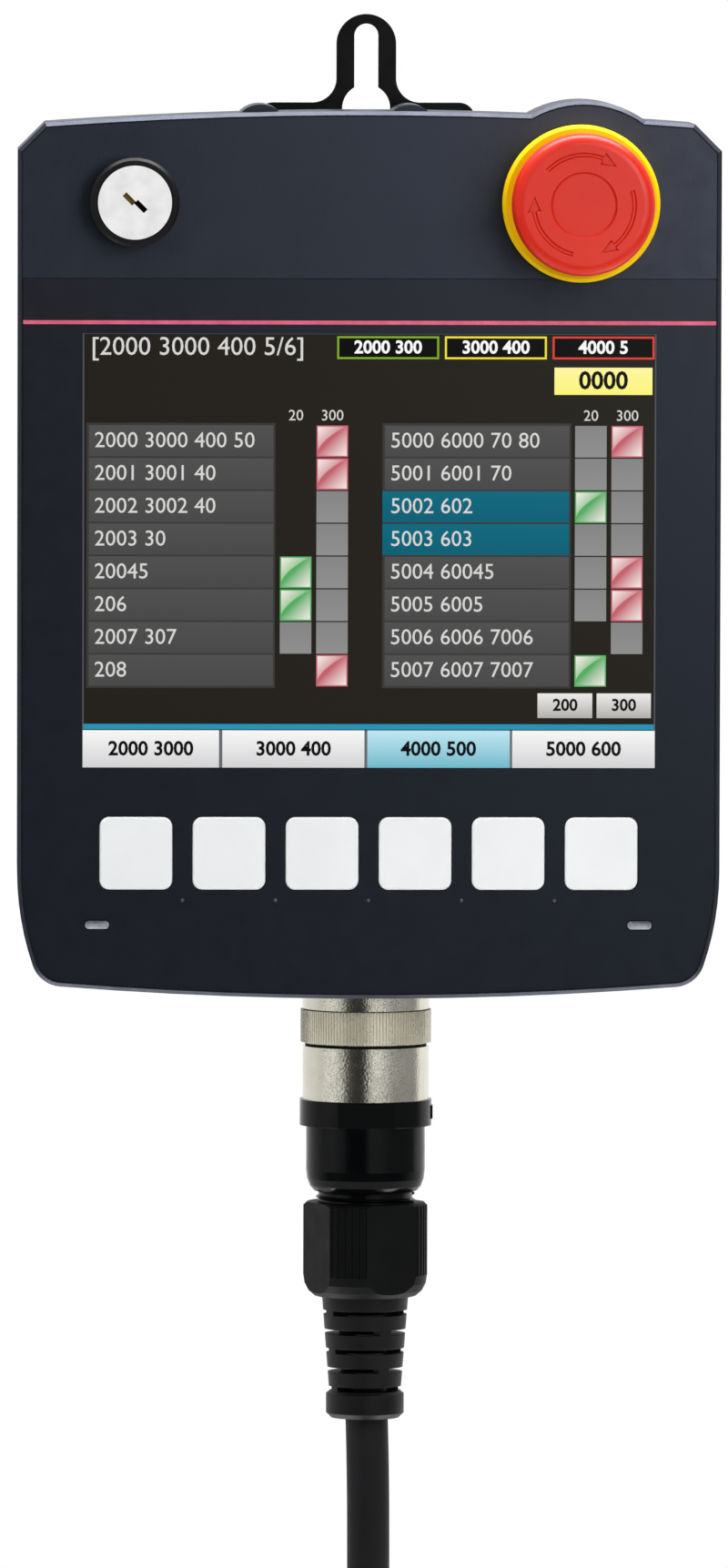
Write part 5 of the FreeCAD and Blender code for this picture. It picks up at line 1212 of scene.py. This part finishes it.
LEVER_LOW, LEVER_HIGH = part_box("grip_lever")
LEVER_FOLD = -130.0 * MM
LEVER_TOP_Y = 18.0 * MM
RIB_COUNT = 9
RIB_PITCH = 3.6 * MM
RIB_FIRST = -124.0 * MM
RIB_RADIUS = 0.7 * MM
RIB_INSET = 3.0 * MM
RIB_SINK = 0.05 * MM
RIB_END = 0.2
RIB_STEPS = 6


def lever_ribs(finish):
    """Low finger ribs across the lever's slope."""
    slope = (LEVER_TOP_Y - LEVER_HIGH[1]) / (LEVER_HIGH[2] - LEVER_FOLD)
    left, right = LEVER_LOW[0] + RIB_INSET, LEVER_HIGH[0] - RIB_INSET
    sections = ((left, RIB_END), (left + RIB_RADIUS, 1.0), (right - RIB_RADIUS, 1.0), (right, RIB_END))
    arch = [math.pi * i / RIB_STEPS for i in range(RIB_STEPS + 1)]
    form = bmesh.new()
    for rib in range(RIB_COUNT):
        z = RIB_FIRST + RIB_PITCH * rib
        y = LEVER_HIGH[1] + slope * (z - LEVER_FOLD) - RIB_SINK
        rings = []
        for x, size in sections:
            tall = RIB_RADIUS * size
            rings.append([(x, y + math.sin(turn) * tall, z + math.cos(turn) * RIB_RADIUS) for turn in arch])
        add_loft(form, rings)
    formed("lever_ribs", form, finish, "enable_lever")


# Hand strap


STRAP_X = -38.0 * MM
STRAP_WIDTH = 36.0 * MM
STRAP_THICKNESS = 3.0 * MM
STRAP_SAMPLES = 6
STRAP_EDGE_STEPS = 6
# Depth and height of the strap's middle line, in millimetres
STRAP_LINE = (
    (1.6, -48.2), (1.6, -62), (1.6, -72), (14, -78.5), (27, -87), (28.0, -100), (28.0, -115),
    (28.0, -130), (27, -143), (14, -151.5), (1.6, -158), (1.6, -168), (1.6, -181.8),
)
STITCH_INSET = 2.2 * MM
STITCH_PITCH = 3.0 * MM
STITCH_RADIUS = 0.3 * MM
STITCH_SIDES = 6
# Places along a stitch in millimetres, with the share of its radius there
STITCH_SECTIONS = ((-1.1, 0.3), (-0.6, 1.0), (0.6, 1.0), (1.1, 0.3))


def strap_frames():
    """Places along the strap with the direction along it and the direction out of it."""
    points = curve_points([(STRAP_X, y * MM, z * MM) for y, z in STRAP_LINE], STRAP_SAMPLES)
    frames = []
    for i, point in enumerate(points):
        along = (points[min(i + 1, len(points) - 1)] - points[max(i - 1, 0)]).normalized()
        frames.append((point, along, Vector((0.0, -along.z, along.y))))
    return frames


def hand_strap(finish):
    """Woven band with soft edges, swept along the arch over the hand."""
    half = STRAP_THICKNESS / 2
    section = []
    for side in (1, -1):
        for i in range(STRAP_EDGE_STEPS + 1):
            turn = math.pi / 2 - math.pi * i / STRAP_EDGE_STEPS
            reach = STRAP_WIDTH / 2 - half + half * math.cos(turn)
            section.append((side * reach, side * half * math.sin(turn)))
    form = bmesh.new()
    across = form.loops.layers.uv.new("across")
    rings = []
    lengths = [0.0]
    frames = strap_frames()
    for i, (point, _, out) in enumerate(frames):
        rings.append([point + Vector((x, 0, 0)) + out * y for x, y in section])
        if i:
            lengths.append(lengths[-1] + (point - frames[i - 1][0]).length)
    loops = add_loft(form, rings)
    run = {vert: lengths[i] for i, loop in enumerate(loops) for vert in loop}
    for face in form.faces:
        for loop in face.loops:
            loop[across].uv = (run[loop.vert], loop.vert.co.x)
    item = formed("hand_strap_web", form, finish, "housing")
    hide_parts("hand_strap")


def add_stitch(form, middle, along, out):
    side = along.cross(out)
    rings = []
    for place, size in STITCH_SECTIONS:
        centre = middle + along * place * MM
        ring = []
        for turn in turns(STITCH_SIDES):
            ring.append(centre + (side * math.cos(turn) + out * math.sin(turn)) * STITCH_RADIUS * size)
        rings.append(ring)
    add_loft(form, rings)


def strap_stitches(finish):
    """Two rows of stitches along the strap's edges."""
    form = bmesh.new()
    walked = 0.0
    frames = strap_frames()
    for (point, along, out), (after, _, _) in zip(frames, frames[1:]):
        run = (after - point).length
        while walked < run:
            middle = point + along * walked + out * STRAP_THICKNESS / 2
            for x in (STITCH_INSET - STRAP_WIDTH / 2, STRAP_WIDTH / 2 - STITCH_INSET):
                add_stitch(form, middle + Vector((x, 0, 0)), along, out)
            walked += STITCH_PITCH
        walked -= run
    formed("strap_stitches", form, finish, "housing", 60)


# Finishes of the CAD parts, by material slot


BLACK = ((5, 6, 7), (9, 10, 11))
MATT = {"Specular_IOR_Level": 0.12}
DULL = {"Specular_IOR_Level": 0.22}
SOFT = {"Specular_IOR_Level": 0.32}
BLUISH = {"Specular_IOR_Level": 0.54, "Specular_Tint": SHEEN}


def dress():
    """Gives each CAD part the finish of its slot, and returns the finishes."""
    finishes = {
        "case_plastic": moulded("case_plastic_fine", (17, 22, 28), (19, 24, 30), 0.42, **BLUISH),
        "seal_rubber": moulded("seal_rubber_soft", *BLACK, 0.75, **DULL),
        "sheet_print": printed_sheet(),
        "touch_glass": moulded("touch_glass_dark", (24, 24, 26), (28, 28, 30), 0.2, 900, 0.004),
        "screen": moulded("screen_body", (120, 122, 126), (134, 136, 140), 0.4),
        "sheet_steel": plated("sheet_steel_plain", (150, 152, 156), (186, 188, 192), 0.35, Metallic=1.0),
        "screw_steel": plated("screw_zinc", (140, 142, 148), (178, 180, 186), 0.32, Metallic=1.0),
        "board": moulded("board_mask", (14, 84, 44), (20, 100, 54), 0.35, 600),
        "chip": moulded("chip_moulded", (22, 22, 24), (34, 34, 36), 0.6),
        "key_white": moulded("key_white_satin", (238, 240, 242), (243, 245, 247), 0.38, 2200, 0.008),
        "lamp_window": lamp_lens(),
        "stop_yellow": moulded("stop_yellow_satin", (247, 200, 2), (252, 210, 5), 0.6, 1600, 0.012, **MATT),
        "stop_red": moulded("stop_red_satin", (204, 34, 15), (210, 39, 18), 0.36, 1800, 0.014, 0.06, **SOFT),
        "black_plastic": moulded("black_plastic_satin", *BLACK, 0.15, 1500, 0.008, **MATT),
        "lock_face": lock_steel(),
        "lock_brass": plated("lock_brass_plain", (176, 138, 60), (214, 178, 92), 0.3, Metallic=0.8),
        "hanger_black": moulded("hanger_paint", (3, 3, 3), (6, 6, 6), 0.3, 1200, 0.02, **MATT),
        "strap_fabric": woven("strap_woven", (16, 16, 17), (40, 40, 42), 1.6 * MM),
        "battery_wrap": moulded("battery_wrap_gloss", (40, 74, 120), (52, 90, 140), 0.25),
        "nickel": turned_metal("nickel_plate", (206, 202, 188), (224, 221, 208), 0.13),
        "boot_rubber": moulded("boot_rubber_matte", (9, 9, 10), (14, 14, 15), 0.45, 1400, 0.03, **DULL),
        "cable_jacket": moulded("cable_jacket_rubber", (23, 23, 25), (30, 30, 32), 0.5, 1100, 0.02, **MATT),
        "tie_fabric": woven("tie_loops", (14, 14, 15), (36, 36, 38), 0.9 * MM),
    }
    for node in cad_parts.values():
        slot = node.data.materials[0].name
        node.data.materials[0] = finishes[slot].material
    special = {
        "key_switch_bezel": moulded("lock_bezel_satin", (18, 18, 20), (24, 24, 26), 0.4, 900, 0.006, **MATT),
        "gland_nut": moulded("gland_nylon", *BLACK, 0.5, 1100, 0.02, **MATT),
    }
    for name, finish in special.items():
        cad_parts[name].data.materials[0] = finish.material
    return finishes


camera()
studio()
for light in LIGHTS:
    area_light(*light)
floor()
finishes = dress()
plug_pins(finishes["lock_brass"])
coil_tie(finishes["tie_fabric"])
cable(finishes["cable_jacket"])
front_line()
rim_painted_shadow()
# The dots are coloured much lighter than the film round them: a painted highlight on their tops
key_dots(moulded("dot_painted_highlight", (58, 62, 72), (70, 74, 84), 0.35))
screen_ground()
screen_table()
screen_lamps()
screen_controls()
screen_numbers()
stop_head(finishes["stop_red"])
knurled_ring(turned_metal("nickel_knurl", (214, 209, 190), (232, 228, 212), 0.24, 0.02, 0.6))
seal_ring(finishes["seal_rubber"])
neck_thread(finishes["black_plastic"])
crossed_screws("rear_screws", finishes["screw_steel"])
crossed_screws("small_screws", finishes["screw_steel"])
lever_ribs(finishes["black_plastic"])
hand_strap(finishes["strap_fabric"])
strap_stitches(moulded("stitch_thread", (60, 60, 62), (84, 84, 86), 0.7))
